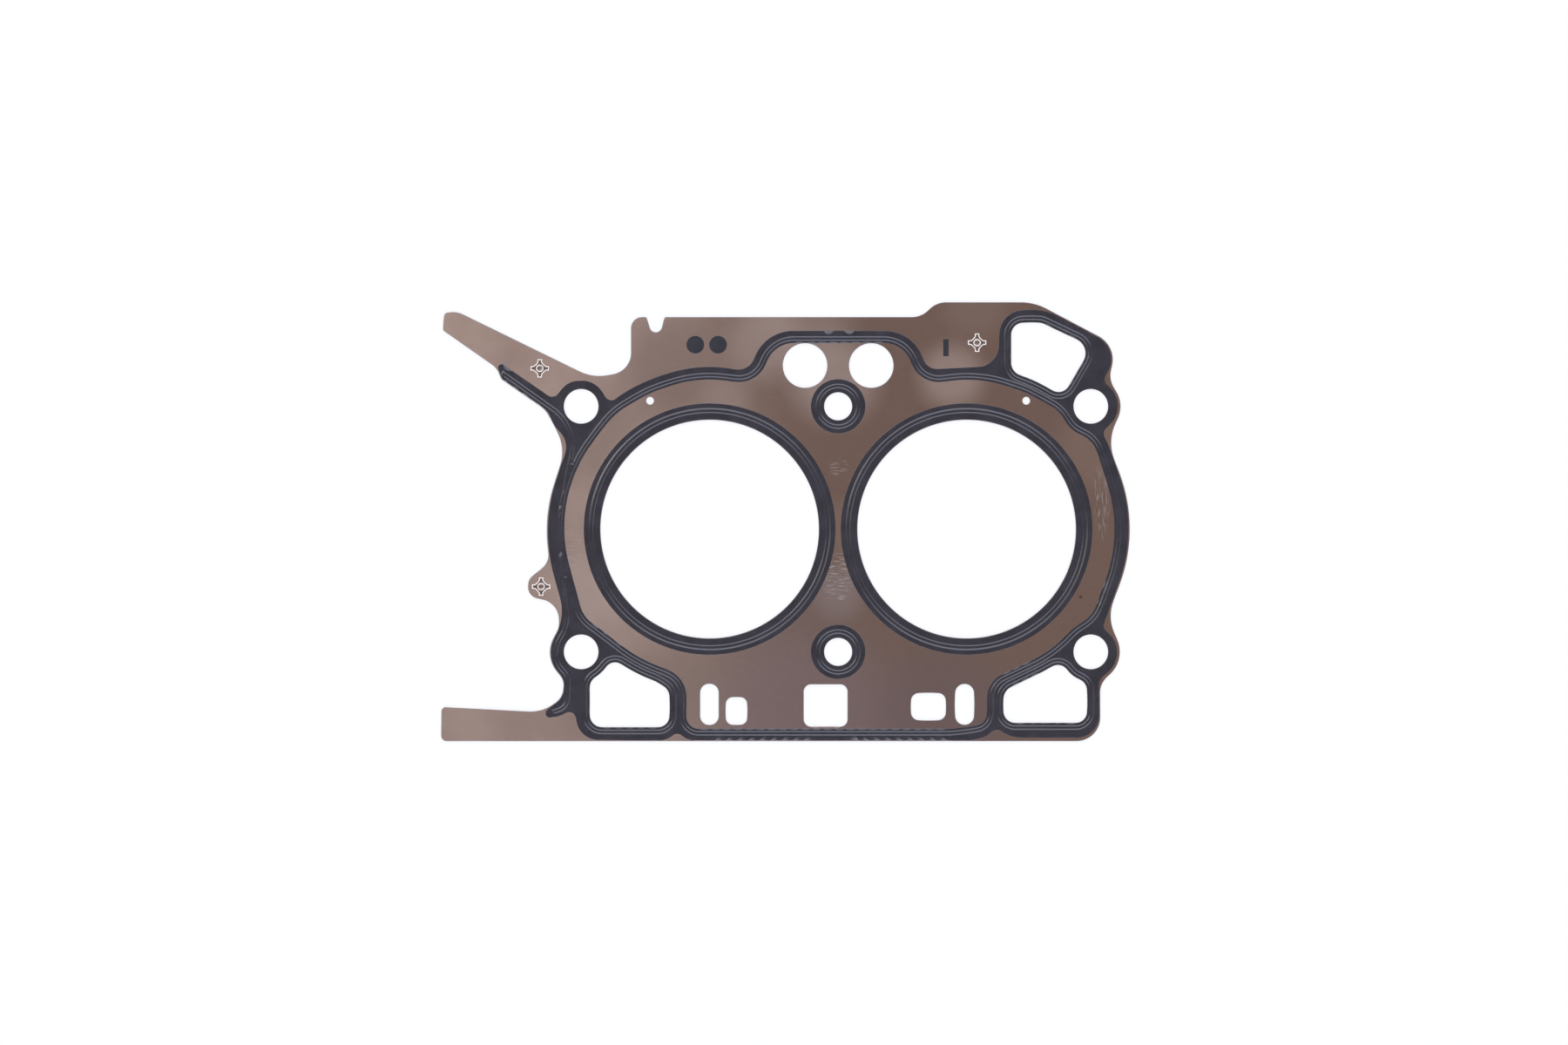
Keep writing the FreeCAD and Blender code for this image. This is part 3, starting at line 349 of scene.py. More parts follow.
# Heights of the pressed beads
@dataclass(frozen=True)
class Embossing:
    """How far the pressed beads stand over a flat sheet, as one function of the place in plan.

    The press leaves the bead around a bore rounder than its plain section: shoulder_draw is how far
    each of the section's corners lies from its plain radius, in mm. Rows of places follow the foot
    lines at row_shares of a slope and at outer_row outside them. Between two radii of the section
    lie ring_steps circles of ring_turns places each, the first of them ring_start outside its radius.
    """

    feet: PlanLines
    axes: list[Array]
    radii: Array
    heights: Array
    crest: float
    stations: Array
    slope: float = 0.62
    shoulder_draw: tuple[float, ...] = (0.0, 0.25, 0.15, -0.65, -0.4)
    row_shares: tuple[float, ...] = (0.2, 0.4, 0.6, 0.8, 1.0)
    outer_row: float = 0.1
    ring_start: float = 0.01
    ring_steps: int = 6
    ring_turns: int = 270

    @classmethod
    def read(cls) -> "Embossing":
        """Take the beads' foot lines and the section around each bore from the upper sheet."""
        skin = CadSkin.of("upper_layer")
        axes = [bore_axis(side) for side in ("left", "right")]
        from_bore = np.min([radii_from(axis, skin.points[:, :2]) for axis in axes], axis=0)
        upper = np.unique(skin.faces[skin.upper_faces()])
        section_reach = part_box("upper_bore_coat_left")[1].x / MM - axes[0][0]
        near = upper[from_bore[upper] < section_reach]
        section = np.unique(np.round(np.column_stack([from_bore, skin.points[:, 2]])[near], 2), axis=0)
        section[:, 0] += np.array(cls.shoulder_draw)
        level = skin.level()
        feet = skin.rim(skin.upper_faces() & ~skin.flat_faces())
        clear = np.min([radii_from(axis, feet.starts()) for axis in axes], axis=0) > section_reach
        crest = float(skin.points[:, 2].max()) - level
        lines = feet.kept(clear).smoothed(ROUND_PIECE, FOOT_PIECE)
        rows = cls.rows_along(lines) + cls.rings(axes, section[:, 0])
        return cls(lines, axes, section[:, 0], section[:, 1] - level, crest, np.vstack(rows))

    def rise(self, places: Array) -> Array:
        """Height over the flat sheet at each place.

        In a bead it goes up from the foot lines over the width of a slope as half a cosine wave.
        Around a bore it goes from each radius of the section to the next as half a cosine wave.

        Args:
            places: places in plan, in mm.

        Returns:
            The heights in mm.
        """
        height = np.zeros(len(places))
        pressed = np.flatnonzero(self.feet.holds(places))
        height[pressed] = self.crest * eased(self.feet.distance(places[pressed]) / self.slope)
        for axis in self.axes:
            radius = radii_from(axis, places)
            step = np.clip(np.searchsorted(self.radii, radius) - 1, 0, len(self.radii) - 2)
            share = (radius - self.radii[step]) / (self.radii[step + 1] - self.radii[step])
            ring = self.heights[step] + (self.heights[step + 1] - self.heights[step]) * eased(share)
            height = np.where(radius < self.radii[-1], ring, height)
        return height

    @classmethod
    def rows_along(cls, feet: PlanLines) -> list[Array]:
        """Places that follow the beads closely enough for their round section to show.

        Args:
            feet: the foot lines.

        Returns:
            A row beside the lines at each share of a slope, and one just outside, in mm.
        """
        inner = [feet.beside(cls.slope * share) for share in cls.row_shares]
        return [*inner, feet.beside(-cls.outer_row)]

    @classmethod
    def rings(cls, axes: list[Array], radii: Array) -> list[Array]:
        """Circles around each bore from the first radius of the section to just past the last.

        A place lies at the bore's axis plus the radius times the angle's cosine and sine.

        Args:
            axes: the bores' places in plan, in mm.
            radii: radii of the section, in mm.

        Returns:
            The circles' places in plan, in mm.
        """
        angle = np.linspace(0, 2 * np.pi, cls.ring_turns, endpoint=False)
        circle = np.column_stack([np.cos(angle), np.sin(angle)])
        ends = zip(radii[1:-1], radii[2:])
        spans = [np.linspace(start, end, cls.ring_steps + 1)[1:] for start, end in ends]
        rings = np.concatenate([radii[:2] + cls.ring_start, *spans, [radii[-1] + cls.outer_row]])
        return [(axis + rings[:, None, None] * circle).reshape(-1, 2) for axis in axes]


# Meshes
def put_mesh(
    name: str, points: Array, polygons: list[Array], crease: float = 35.0,
) -> Piece:
    """Make an object from arrays, smooth but for its sharp edges.

    Args:
        name: name of the piece.
        points: its places in mm.
        polygons: arrays of faces, each with its own number of corners.
        crease: the angle in degrees past which an edge stays sharp.

    Returns:
        The object, at the origin.
    """
    mesh = bpy.data.meshes.new(name)
    mesh.vertices.add(len(points))
    mesh.vertices.foreach_set("co", (points * MM).ravel())
    corners = np.concatenate([group.ravel() for group in polygons])
    sizes = np.concatenate([np.full(len(group), group.shape[1]) for group in polygons])
    mesh.loops.add(len(corners))
    mesh.loops.foreach_set("vertex_index", corners.astype(np.int32))
    mesh.polygons.add(len(sizes))
    mesh.polygons.foreach_set("loop_start", (np.cumsum(sizes) - sizes).astype(np.int32))
    mesh.polygons.foreach_set("use_smooth", np.ones(len(sizes), bool))
    mesh.update(calc_edges=True)
    mesh.validate()
    mesh.set_sharp_from_angle(angle=math.radians(crease))
    piece = bpy.data.objects.new(name, mesh)
    bpy.context.scene.collection.objects.link(piece)
    return piece


def put_values(piece: Piece, name: str, values: Array) -> None:
    """Give a piece one number for each vertex, which its material reads by name."""
    attribute = piece.data.attributes.new(name, "FLOAT", "POINT")
    attribute.data.foreach_set("value", values.astype(np.float32))


def filled(
    domain: PlanLines, guides: PlanLines | None, stations: Array,
) -> tuple[Array, Array]:
    """Triangles that fill closed lines in plan and pass through given places.

    Args:
        domain: the lines, with the inside on their left.
        guides: other lines that edges follow where they lie inside.
        stations: other places that become corners where they lie inside.

    Returns:
        The places in mm and the triangles, counterclockwise seen from above.
    """
    points = [domain.points]
    edges = [domain.segments]
    if guides is not None:
        within = domain.holds(guides.starts()) & domain.holds(guides.ends())
        inner = guides.kept(within)
        points.append(inner.points)
        edges.append(inner.segments + len(domain.points))
    inside = stations[domain.holds(stations)]
    points.append(inside[domain.distance(inside) > EDGE_CLEARANCE])
    flat = np.vstack(points).tolist()
    result = delaunay_2d_cdt(list(map(Vector, flat)), np.vstack(edges).tolist(), [], 0, MERGE_GAP)
    plan = np.array([tuple(place) for place in result[0]])
    faces = np.array(result[2])
    faces = faces[domain.holds(plan[faces].mean(axis=1))]
    used, index = np.unique(faces, return_inverse=True)
    plan = plan[used]
    faces = index.reshape(-1, 3)
    first, second, third = (plan[faces[:, i]] for i in range(3))
    ahead = second - first
    aside = third - first
    clockwise = ahead[:, 0] * aside[:, 1] - ahead[:, 1] * aside[:, 0] < 0
    faces[clockwise] = faces[clockwise][:, ::-1]
    return plan, faces


def shell_arrays(
    plan: Array, faces: Array, top: Array, bottom: Array,
) -> tuple[Array, list[Array]]:
    """A closed thin body: its upper and lower skins are heights over one plan, joined by walls.

    Args:
        plan: places in plan, in mm.
        faces: triangles of the plan, counterclockwise.
        top: height of the upper skin at each place.
        bottom: height of the lower skin at each place.

    Returns:
        Its places and its faces.
    """
    count = len(plan)
    points = np.vstack([np.column_stack([plan, top]), np.column_stack([plan, bottom])])
    edges = faces[:, [0, 1, 1, 2, 2, 0]].reshape(-1, 2)
    outer = edges[~np.isin(edges[:, 0] * count + edges[:, 1], edges[:, 1] * count + edges[:, 0])]
    walls = np.column_stack([outer[:, 0], outer[:, 0] + count, outer[:, 1] + count, outer[:, 1]])
    return points, [faces, faces[:, ::-1] + count, walls]


def turned_arrays(section: Array, axis: Array, turns: int) -> tuple[Array, Array]:
    """A body of revolution: a closed section carried round an upright axis.

    A place lies at the axis plus its radius times the angle's cosine and sine, at its own height.

    Args:
        section: radii and heights in mm, clockwise with the radius to the right and height up.
        axis: the axis's place in plan, in mm.
        turns: number of steps round the axis.

    Returns:
        Its places and its triangles. Where the section meets the axis, the steps share one vertex.
    """
    steps = len(section)
    angle = np.linspace(0, 2 * np.pi, turns, endpoint=False)[:, None]
    x = axis[0] + section[:, 0] * np.cos(angle)
    y = axis[1] + section[:, 0] * np.sin(angle)
    z = np.broadcast_to(section[:, 1], (turns, steps))
    points = np.stack([x, y, z], axis=-1).reshape(-1, 3)
    number = np.arange(turns * steps).reshape(turns, steps)
    on_axis = section[:, 0] == 0
    number[:, on_axis] = number[0, on_axis]
    ahead = np.roll(number, -1, axis=0)
    upper = np.roll(number, -1, axis=1)
    both = np.roll(ahead, -1, axis=1)
    quads = np.stack([number, upper, both, ahead], axis=-1).reshape(-1, 4)
    faces = np.vstack([quads[:, [0, 1, 2]], quads[:, [0, 2, 3]]])
    real = (faces[:, 0] != faces[:, 1]) & (faces[:, 1] != faces[:, 2]) & (faces[:, 2] != faces[:, 0])
    used, index = np.unique(faces[real], return_inverse=True)
    return points[used], index.reshape(-1, 3)


def rounded_section(inner: float, outer: float, bottom: float, top: float, radius: float) -> Array:
    """A rectangle of radii and heights with its four corners rounded by quarter circles, clockwise."""
    corner_places = 5
    quarter = np.linspace(0, np.pi / 2, corner_places)
    corners = [
        (inner + radius, top - radius, np.pi),
        (outer - radius, top - radius, np.pi / 2),
        (outer - radius, bottom + radius, 0.0),
        (inner + radius, bottom + radius, -np.pi / 2),
    ]
    arcs = [
        np.column_stack([x + radius * np.cos(start - quarter), z + radius * np.sin(start - quarter)])
        for x, z, start in corners
    ]
    return np.vstack(arcs)


# Materials
def add(tree: Tree, kind: str, inputs: dict | tuple = (), **settings) -> Node:
    """Add one node with its settings and links.

    Args:
        tree: the material's or the world's nodes.
        kind: the node's type name after "ShaderNode".
        inputs: for its sockets, by name or number or in their order, a value, a node's output, or a
            node, which stands for its first output in use.
        settings: the node's own properties.

    Returns:
        The node.
    """
    node = tree.nodes.new(f"ShaderNode{kind}")
    for name, value in settings.items():
        setattr(node, name, value)
    named = inputs if isinstance(inputs, dict) else dict(enumerate(inputs))
    for socket, value in named.items():
        if isinstance(value, Node):
            value = next(output for output in value.outputs if output.enabled)
        if isinstance(value, Socket):
            tree.links.new(value, node.inputs[socket])
        else:
            node.inputs[socket].default_value = value
    return node


def new_tree(name: str) -> tuple[Finish, Tree]:
    """A material with empty nodes."""
    material = bpy.data.materials.new(name)
    material.use_nodes = True
    material.node_tree.nodes.clear()
    return material, material.node_tree


def per_metre(size_mm: float) -> float:
    """Scale of a noise whose features are about that many millimetres wide, on coordinates in metres."""
    return 1 / (size_mm * MM)


@dataclass(frozen=True)
class Spot:
    """A soft round patch: its place and radius in mm, its colour and how much of it shows.

    Out to its core, a share of the radius, it shows in full. It paints a real stain, and also painted sheen
    and painted shade.
    """

    x: float
    y: float
    radius: float
    tone: str = "#2a2322"
    depth: float = 0.55
    core: float = 0.3


@dataclass(frozen=True)
class Scuff:
    """A rubbed patch of fine parallel scratches: its middle and half sizes in mm, and its scratches.

    The scratches run along X, or along Y when they are upright, and are drawn coarser than real
    ones, so that they show. One starts where the noise is past the first number of lit, and is
    full from the second.
    """

    x: float
    y: float
    half_width: float
    half_height: float
    depth: float
    upright: bool = False
    scratch_mm: float = 0.55
    stretch: float = 0.1
    core: float = 0.6
    lit: tuple[float, float] = (0.52, 0.66)
    tone: str = "#e8dcd2"


@dataclass(frozen=True)
class RolledSteel:
    """Stainless spring steel strip, cold rolled and then pressed.

    The rolls leave a satin face with a fine grain along the strip. Tempering has tinted it a warm
    grey-brown, a little uneven, and the sheared edges are bright. Painted sheen and painted shade
    can lie over the tint: a fade along X and soft lighter and darker patches. The pale band along
    the edges is also a painted highlight of the rolled edge.
    """

    name: str
    tone: str
    shade: str
    burnished_and_highlit_edge: str
    roughness: float
    cloud_mm: float = 34.0
    cloud_depth: float = 0.3
    grain_mm: float = 0.35
    edge_mm: float = 0.2
    edge_highlight_metal: float = 1.0
    painted_sheen_far_tone: str = ""
    painted_sheen_fade: tuple[float, float] = (-105.0, -5.0)
    stain_and_sheen_spots: tuple[Spot, ...] = ()
    scuffs: tuple[Scuff, ...] = ()
    grain_stretch: float = 0.1
    grain_span: tuple[float, float] = (0.3, 0.7)
    streaks: tuple[float, float] = (0.975, 1.02)
    gloss_spread: float = 0.02
    relief_mm: float = 0.002

    def material(self) -> Finish:
        """Build the material."""
        material, tree = new_tree(self.name)
        place = add(tree, "TexCoord").outputs["Object"]
        # Where a far tone is given, the tone carries a painted sheen along X
        tone = self.with_painted_sheen(tree, place) if self.painted_sheen_far_tone else linear(self.tone)
        clouds = add(tree, "TexNoise", {
            "Vector": place, "Scale": per_metre(self.cloud_mm), "Detail": 3.0, "Roughness": 0.55,
        })
        tint = add(tree, "MapRange", (clouds, *NOISE_SPAN, 0.0, self.cloud_depth))
        colour = add(tree, "Mix", {
            "Factor": tint, "A": tone, "B": linear(self.shade),
        }, data_type="RGBA")
        strip = add(tree, "Mapping", {"Vector": place, "Scale": (self.grain_stretch, 1.0, 1.0)})
        grain = add(tree, "TexNoise", {
            "Vector": strip, "Scale": per_metre(self.grain_mm), "Detail": 2.0,
        })
        streaks = add(tree, "MapRange", (grain, *self.grain_span, *self.streaks))
        smoother = self.roughness - self.gloss_spread
        rougher = self.roughness + self.gloss_spread
        gloss = add(tree, "MapRange", (grain, *self.grain_span, smoother, rougher))
        shown = add(tree, "VectorMath", {0: colour, "Scale": streaks}, operation="SCALE")
        # Soft patches: a real stain, and painted sheen and painted shade
        for spot in self.stain_and_sheen_spots:
            shown = self.marked(tree, place, shown, spot)
        for scuff in self.scuffs:
            shown = self.rubbed(tree, place, shown, scuff)
        # Pale band along the edges: the sheared steel is bright, and the band also paints in the highlight
        # on the rolled edge
        margin = add(tree, "Attribute", attribute_name="margin").outputs["Fac"]
        fading = (0.5 * self.edge_mm, self.edge_mm, 1.0, 0.0)
        edge = add(tree, "MapRange", (margin, *fading), interpolation_type="SMOOTHSTEP")
        with_edge_highlight = add(tree, "Mix", {
            "Factor": edge, "A": shown, "B": linear(self.burnished_and_highlit_edge),
        }, data_type="RGBA")
        # A matt edge band, as on the eyelet, makes the painted edge highlight brighter
        metal = 1.0
        if self.edge_highlight_metal < 1.0:
            metal = add(tree, "MapRange", (edge, 0.0, 1.0, 1.0, self.edge_highlight_metal))
        relief = add(tree, "Bump", {
            "Height": grain, "Strength": RELIEF, "Distance": self.relief_mm * MM,
        })
        shader = add(tree, "BsdfPrincipled", {
            "Base Color": with_edge_highlight, "Metallic": metal, "Roughness": gloss, "Normal": relief,
        })
        add(tree, "OutputMaterial", (shader,))
        return material

    def with_painted_sheen(self, tree: Tree, place: Socket) -> Node:
        """The colour with a painted sheen: along X it changes from the lighter near tone to the darker far
        one.
        """
        along = add(tree, "SeparateXYZ", (place,)).outputs["X"]
        span = (self.painted_sheen_fade[0] * MM, self.painted_sheen_fade[1] * MM)
        fading = add(tree, "MapRange", (along, *span), interpolation_type="SMOOTHSTEP")
        return add(tree, "Mix", {
            "Factor": fading, "A": linear(self.tone), "B": linear(self.painted_sheen_far_tone),
        }, data_type="RGBA")

    def marked(self, tree: Tree, place: Socket, under: Node, spot: Spot) -> Node:
        """The colour with a soft spot on it, which fades out at the spot's radius.

        Args:
            tree: the material's nodes.
            place: the place on the object.
            under: the colour below the spot.
            spot: the spot.

        Returns:
            The colour with the spot.
        """
        centre = (spot.x * MM, spot.y * MM, 0.0)
        level = add(tree, "VectorMath", (place, (1.0, 1.0, 0.0)), operation="MULTIPLY")
        away = add(tree, "VectorMath", (level, centre), operation="DISTANCE")
        fading = (spot.core * spot.radius * MM, spot.radius * MM, spot.depth, 0.0)
        depth = add(tree, "MapRange", (away, *fading), interpolation_type="SMOOTHSTEP")
        return add(tree, "Mix", {
            "Factor": depth, "A": under, "B": linear(spot.tone),
        }, data_type="RGBA")

    def rubbed(self, tree: Tree, place: Socket, under: Node, scuff: Scuff) -> Node:
        """The colour with a patch of fine bright scratches on it.

        Args:
            tree: the material's nodes.
            place: the place on the object.
            under: the colour below the scratches.
            scuff: the patch.

        Returns:
            The colour with the scratches.
        """
        middle = (scuff.x * MM, scuff.y * MM, 0.0)
        share = (1 / (scuff.half_width * MM), 1 / (scuff.half_height * MM), 0.0)
        from_middle = add(tree, "VectorMath", (place, middle), operation="SUBTRACT")
        patch = add(tree, "VectorMath", (from_middle, share), operation="MULTIPLY")
        away = add(tree, "VectorMath", (patch,), operation="LENGTH")
        fading = (scuff.core, 1.0, scuff.depth, 0.0)
        inside = add(tree, "MapRange", (away, *fading), interpolation_type="SMOOTHSTEP")
        drawn_out = (1.0, scuff.stretch, 1.0) if scuff.upright else (scuff.stretch, 1.0, 1.0)
        stretched = add(tree, "VectorMath", (place, drawn_out), operation="MULTIPLY")
        lines = add(tree, "TexNoise", {
            "Vector": stretched, "Scale": per_metre(scuff.scratch_mm), "Detail": 2.0,
        })
        scratch = add(tree, "MapRange", (lines, *scuff.lit))
        factor = add(tree, "Math", (scratch, inside), operation="MULTIPLY")
        return add(tree, "Mix", {
            "Factor": factor, "A": under, "B": linear(scuff.tone),
        }, data_type="RGBA")


@dataclass(frozen=True)
class ScreenPrintedRubber:
    """Fluoroelastomer put on by screen printing and cured.

    It is a thin skin, near black with a cool cast, satin on the beads that the press has drawn
    smooth. The cloth of the screen leaves a faint dimpling, drawn here at twice its real pitch so
    that it shows.
    """

    name: str
    tone: str
    shade: str
    roughness: float
    sheen: float = 0.5
    mottle_mm: float = 7.0
    dimple_mm: float = 0.45
    gloss_spread: float = 0.03
    relief_mm: float = 0.01

    def material(self) -> Finish:
        """Build the material."""
        material, tree = new_tree(self.name)
        place = add(tree, "TexCoord").outputs["Object"]
        mottle = add(tree, "TexNoise", {
            "Vector": place, "Scale": per_metre(self.mottle_mm), "Detail": 4.0, "Roughness": 0.6,
        })
        tint = add(tree, "MapRange", (mottle, *NOISE_SPAN))
        colour = add(tree, "Mix", {
            "Factor": tint, "A": linear(self.tone), "B": linear(self.shade),
        }, data_type="RGBA")
        smoother = self.roughness - self.gloss_spread
        rougher = self.roughness + self.gloss_spread
        gloss = add(tree, "MapRange", (mottle, *NOISE_SPAN, smoother, rougher))
        dimples = add(tree, "TexNoise", {
            "Vector": place, "Scale": per_metre(self.dimple_mm), "Detail": 2.0,
        })
        relief = add(tree, "Bump", {
            "Height": dimples, "Strength": RELIEF, "Distance": self.relief_mm * MM,
        })
        shader = add(tree, "BsdfPrincipled", {
            "Base Color": colour, "Roughness": gloss, "Specular IOR Level": self.sheen,
            "Normal": relief,
        })
        add(tree, "OutputMaterial", (shader,))
        return material


@dataclass(frozen=True)
class Finishes:
    """The finish of each kind of piece."""

    sheet: Finish
    carrier: Finish
    stopper: Finish
    eyelet: Finish
    rubber: Finish
    ink: Finish

    @classmethod
    def made(cls) -> "Finishes":
        """Build them all."""
        # Painted sheen and painted shade: lighter and darker patches where the flat steel catches more and
        # less of the studio light; the first is a real small dark stain
        stain_and_painted_sheen = (
            Spot(106.6, -29.8, 1.1),
            Spot(-16.0, 96.0, 32.0, "#c8ae9e", 0.35),
            Spot(-2.0, 66.0, 27.0, "#d2b8a8", 0.5),
            Spot(-32.0, 82.0, 24.0, "#d2b8a8", 0.35),
            Spot(50.0, 67.0, 20.0, "#d2b6a4", 0.5),
            Spot(60.0, 98.0, 20.0, "#b09684", 0.25),
            Spot(-50.0, 57.0, 16.0, "#c8ae9e", 0.3),
            Spot(0.0, -28.0, 17.0, "#ad9b92", 0.45),
            Spot(0.0, 0.0, 17.0, "#a8907d", 0.3),
            Spot(-16.0, -82.0, 62.0, "#99837d", 0.6),
            Spot(45.0, -80.0, 42.0, "#83706c", 0.5),
            Spot(-72.0, -68.0, 24.0, "#8b7466", 0.25),
            Spot(-112.0, -86.0, 22.0, "#9b8172", 0.3),
            Spot(-110.0, -28.0, 26.0, "#d7bdab", 0.4),
            Spot(-104.0, 40.0, 28.0, "#9b8172", 0.4),
            Spot(-75.0, 72.0, 30.0, "#8b7063", 0.35),
            Spot(114.0, 36.0, 26.0, "#a88b78", 0.4),
        )
        scuffs = (
            Scuff(0.0, -21.0, 8.0, 13.0, 0.6),
            Scuff(0.5, 27.0, 5.0, 5.0, 0.35),
            Scuff(116.0, 14.0, 4.0, 22.0, 0.35, upright=True),
            Scuff(-117.0, -8.0, 5.0, 16.0, 0.2),
        )
        return cls(
            # Rolled and tempered: a warm grey-brown satin, with a painted sheen that leaves it darker to
            # the right
            sheet=RolledSteel(
                "stainless spring steel, cold rolled and tempered",
                "#c0a593", "#8e7363", "#a39da2", 0.40,
                painted_sheen_far_tone="#8c7160", stain_and_sheen_spots=stain_and_painted_sheen, scuffs=scuffs,
            ).material(),
            # Zinc plating: a paler, greyer and duller face
            carrier=RolledSteel(
                "carbon steel carrier, zinc plated", "#a39a90", "#968d85", "#cfc7bf", 0.45,
            ).material(),
            # Ground to its thickness: the palest and shiniest steel of the stack
            stopper=RolledSteel(
                "stainless steel stopper, ground", "#b3aaa2", "#a69d96", "#ddd6cf", 0.32,
            ).material(),
            # Drawn and rolled over: a grey-brown face, with a pale matt outline and lip that are a painted
            # highlight
            eyelet=RolledSteel(
                "stainless steel eyelet, drawn", "#8f7b70", "#857268", "#fff1e0", 0.36,
                edge_mm=0.5, edge_highlight_metal=0.1,
            ).material(),
            # Smooth cured rubber: near black, with crisp highlights along the beads
            rubber=ScreenPrintedRubber(
                "fluoroelastomer, screen printed", "#2d292c", "#322d31", 0.24, 0.85,
            ).material(),
            # Thin ink: as dark, but duller
            ink=ScreenPrintedRubber(
                "marking ink, screen printed", "#28262a", "#2c2a2e", 0.36,
            ).material(),
        )


# The stack
@dataclass(frozen=True)
class SkinPlan:
    """One layer in plan: its triangles, and at each place the bead's height and how far the edge is."""

    places: Array
    faces: Array
    rise: Array
    margin: Array

    @classmethod
    def of(cls, node: str, embossing: Embossing | None, edge_rows: tuple[float, ...]) -> "SkinPlan":
        """Take a layer's outline and openings from its CAD node and fill them with finer triangles.

        Args:
            node: the CAD node.
            embossing: the beads it follows, if it does.
            edge_rows: distances from the edge, in mm, at which it has rows of corners.

        Returns:
            The layer's plan.
        """
        skin = CadSkin.of(node)
        domain = skin.rim(skin.upper_faces()).smoothed(ROUND_PIECE, STRAIGHT_PIECE)
        rows = [domain.beside(distance) for distance in edge_rows]
        guides = None
        if embossing is not None:
            guides = embossing.feet
            rows.append(embossing.stations)
        places, faces = filled(domain, guides, np.vstack(rows))
        rise = embossing.rise(places) if embossing is not None else np.zeros(len(places))
        return cls(places, faces, rise, domain.distance(places))


@dataclass(frozen=True)
class StackHeights:
    """Heights in the stack, in mm, read from the frame."""

    sheet_face: float
    top_face: float
    print_face: float
    middle: float

    @classmethod
    def read(cls) -> "StackHeights":
        """Take them from the upper sheet, its print and the carrier."""
        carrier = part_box("carrier_layer")
        return cls(
            sheet_face=carrier[1].z / MM,
            top_face=CadSkin.of("upper_layer").level(),
            print_face=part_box("printed_bar")[1].z / MM,
            middle=(carrier[0].z + carrier[1].z) / 2 / MM,
        )

    def coat(self) -> float:
        """Thickness of the print."""
        return self.print_face - self.top_face


def mount_piece(piece: Piece, nodes: list[str], material: Finish) -> None:
    """Dress a finished piece and let it stand for its CAD nodes on the one body.

    Args:
        piece: the piece, in place.
        nodes: the CAD nodes that it replaces.
        material: its finish.
    """
    piece.data.materials.append(material)
    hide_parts(*nodes)
    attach(piece, "root")
    piece.data.calc_loop_triangles()
    log.info("%s: %d triangles", piece.name, len(piece.data.loop_triangles))


@dataclass(frozen=True)
class PressedSheet:
    """An embossed steel sheet, whose beads stand on one side and are hollow on the other.

    Shearing rolls its upper edge over: the drop falls off as the square of what is left of the
    roll's width.
    """

    plan: SkinPlan
    heights: StackHeights
    roll_width: float = 0.16
    roll_drop: float = 0.035
    edge_rows: tuple[float, ...] = (0.06, 0.16, 0.3)

    def build(self, side: Side) -> Piece:
        """Make the sheet of one half of the stack; the lower one is the upper one's mirror image."""
        left = np.clip(1 - self.plan.margin / self.roll_width, 0.0, 1.0)
        outside = self.heights.top_face + self.plan.rise - self.roll_drop * left**2
        inside = self.heights.sheet_face + self.plan.rise
        name = f"{side.value}_pressed_sheet"
        return half_of_stack(name, side, self.plan, outside, inside, self.heights)

    def dress(self, piece: Piece, side: Side, finishes: Finishes) -> None:
        """Give it its steel."""
        mount_piece(piece, [f"{side.value}_layer"], finishes.sheet)


def half_of_stack(
    name: str, side: Side, plan: SkinPlan, outside: Array, inside: Array, heights: StackHeights,
) -> Piece:
    """A layer of the upper half, or its mirror image in the middle of the stack.

    Args:
        name: name of the piece.
        side: which half it belongs to.
        plan: its plan.
        outside: heights of its outer skin in the upper half, in mm.
        inside: heights of its inner skin in the upper half, in mm.
        heights: the stack's heights.

    Returns:
        The piece, with the distance from its edge as an attribute.
    """
    if side is Side.LOWER:
        outside, inside = 2 * heights.middle - inside, 2 * heights.middle - outside
    piece = put_mesh(name, *shell_arrays(plan.places, plan.faces, outside, inside))
    put_values(piece, "margin", np.tile(plan.margin, 2))
    return piece


@dataclass(frozen=True)
class Carrier:
    """The flat sheet in the middle of the stack."""

    heights: StackHeights
    edge_rows: tuple[float, ...] = (0.12, 0.3)

    def build(self) -> Piece:
        """Make the sheet between its two faces."""
        plan = SkinPlan.of("carrier_layer", None, self.edge_rows)
        top = np.full(len(plan.places), self.heights.sheet_face)
        bottom = 2 * self.heights.middle - top
        return half_of_stack("carrier_sheet", Side.UPPER, plan, top, bottom, self.heights)

    def dress(self, piece: Piece, finishes: Finishes) -> None:
        """Give it its steel."""
        mount_piece(piece, ["carrier_layer"], finishes.carrier)


@dataclass(frozen=True)
class RubberPrint:
    """A rubber skin printed on a sheet, which follows the beads.

    Its edge is round: the thickness grows as a quarter circle over the rounding's width.
    """

    node: str
    heights: StackHeights
    rounding: float = 0.16
    least_share: float = 0.3
    inner_rows: tuple[float, ...] = (0.05, 0.1)
    outer_row: float = 0.3

    def plan(self, embossing: Embossing | None) -> SkinPlan:
        """Its plan, with rows of corners along the rounded edge."""
        rows = (*self.inner_rows, self.rounding, self.outer_row)
        return SkinPlan.of(self.node, embossing, rows)

    def build(self, name: str, side: Side, plan: SkinPlan) -> Piece:
        """Make the skin of one half of the stack."""
        left = np.clip(1 - plan.margin / self.rounding, 0.0, 1.0)
        share = self.least_share + (1 - self.least_share) * np.sqrt(1 - left**2)
        inside = self.heights.top_face + plan.rise
        outside = inside + self.heights.coat() * share
        return half_of_stack(name, side, plan, outside, inside, self.heights)


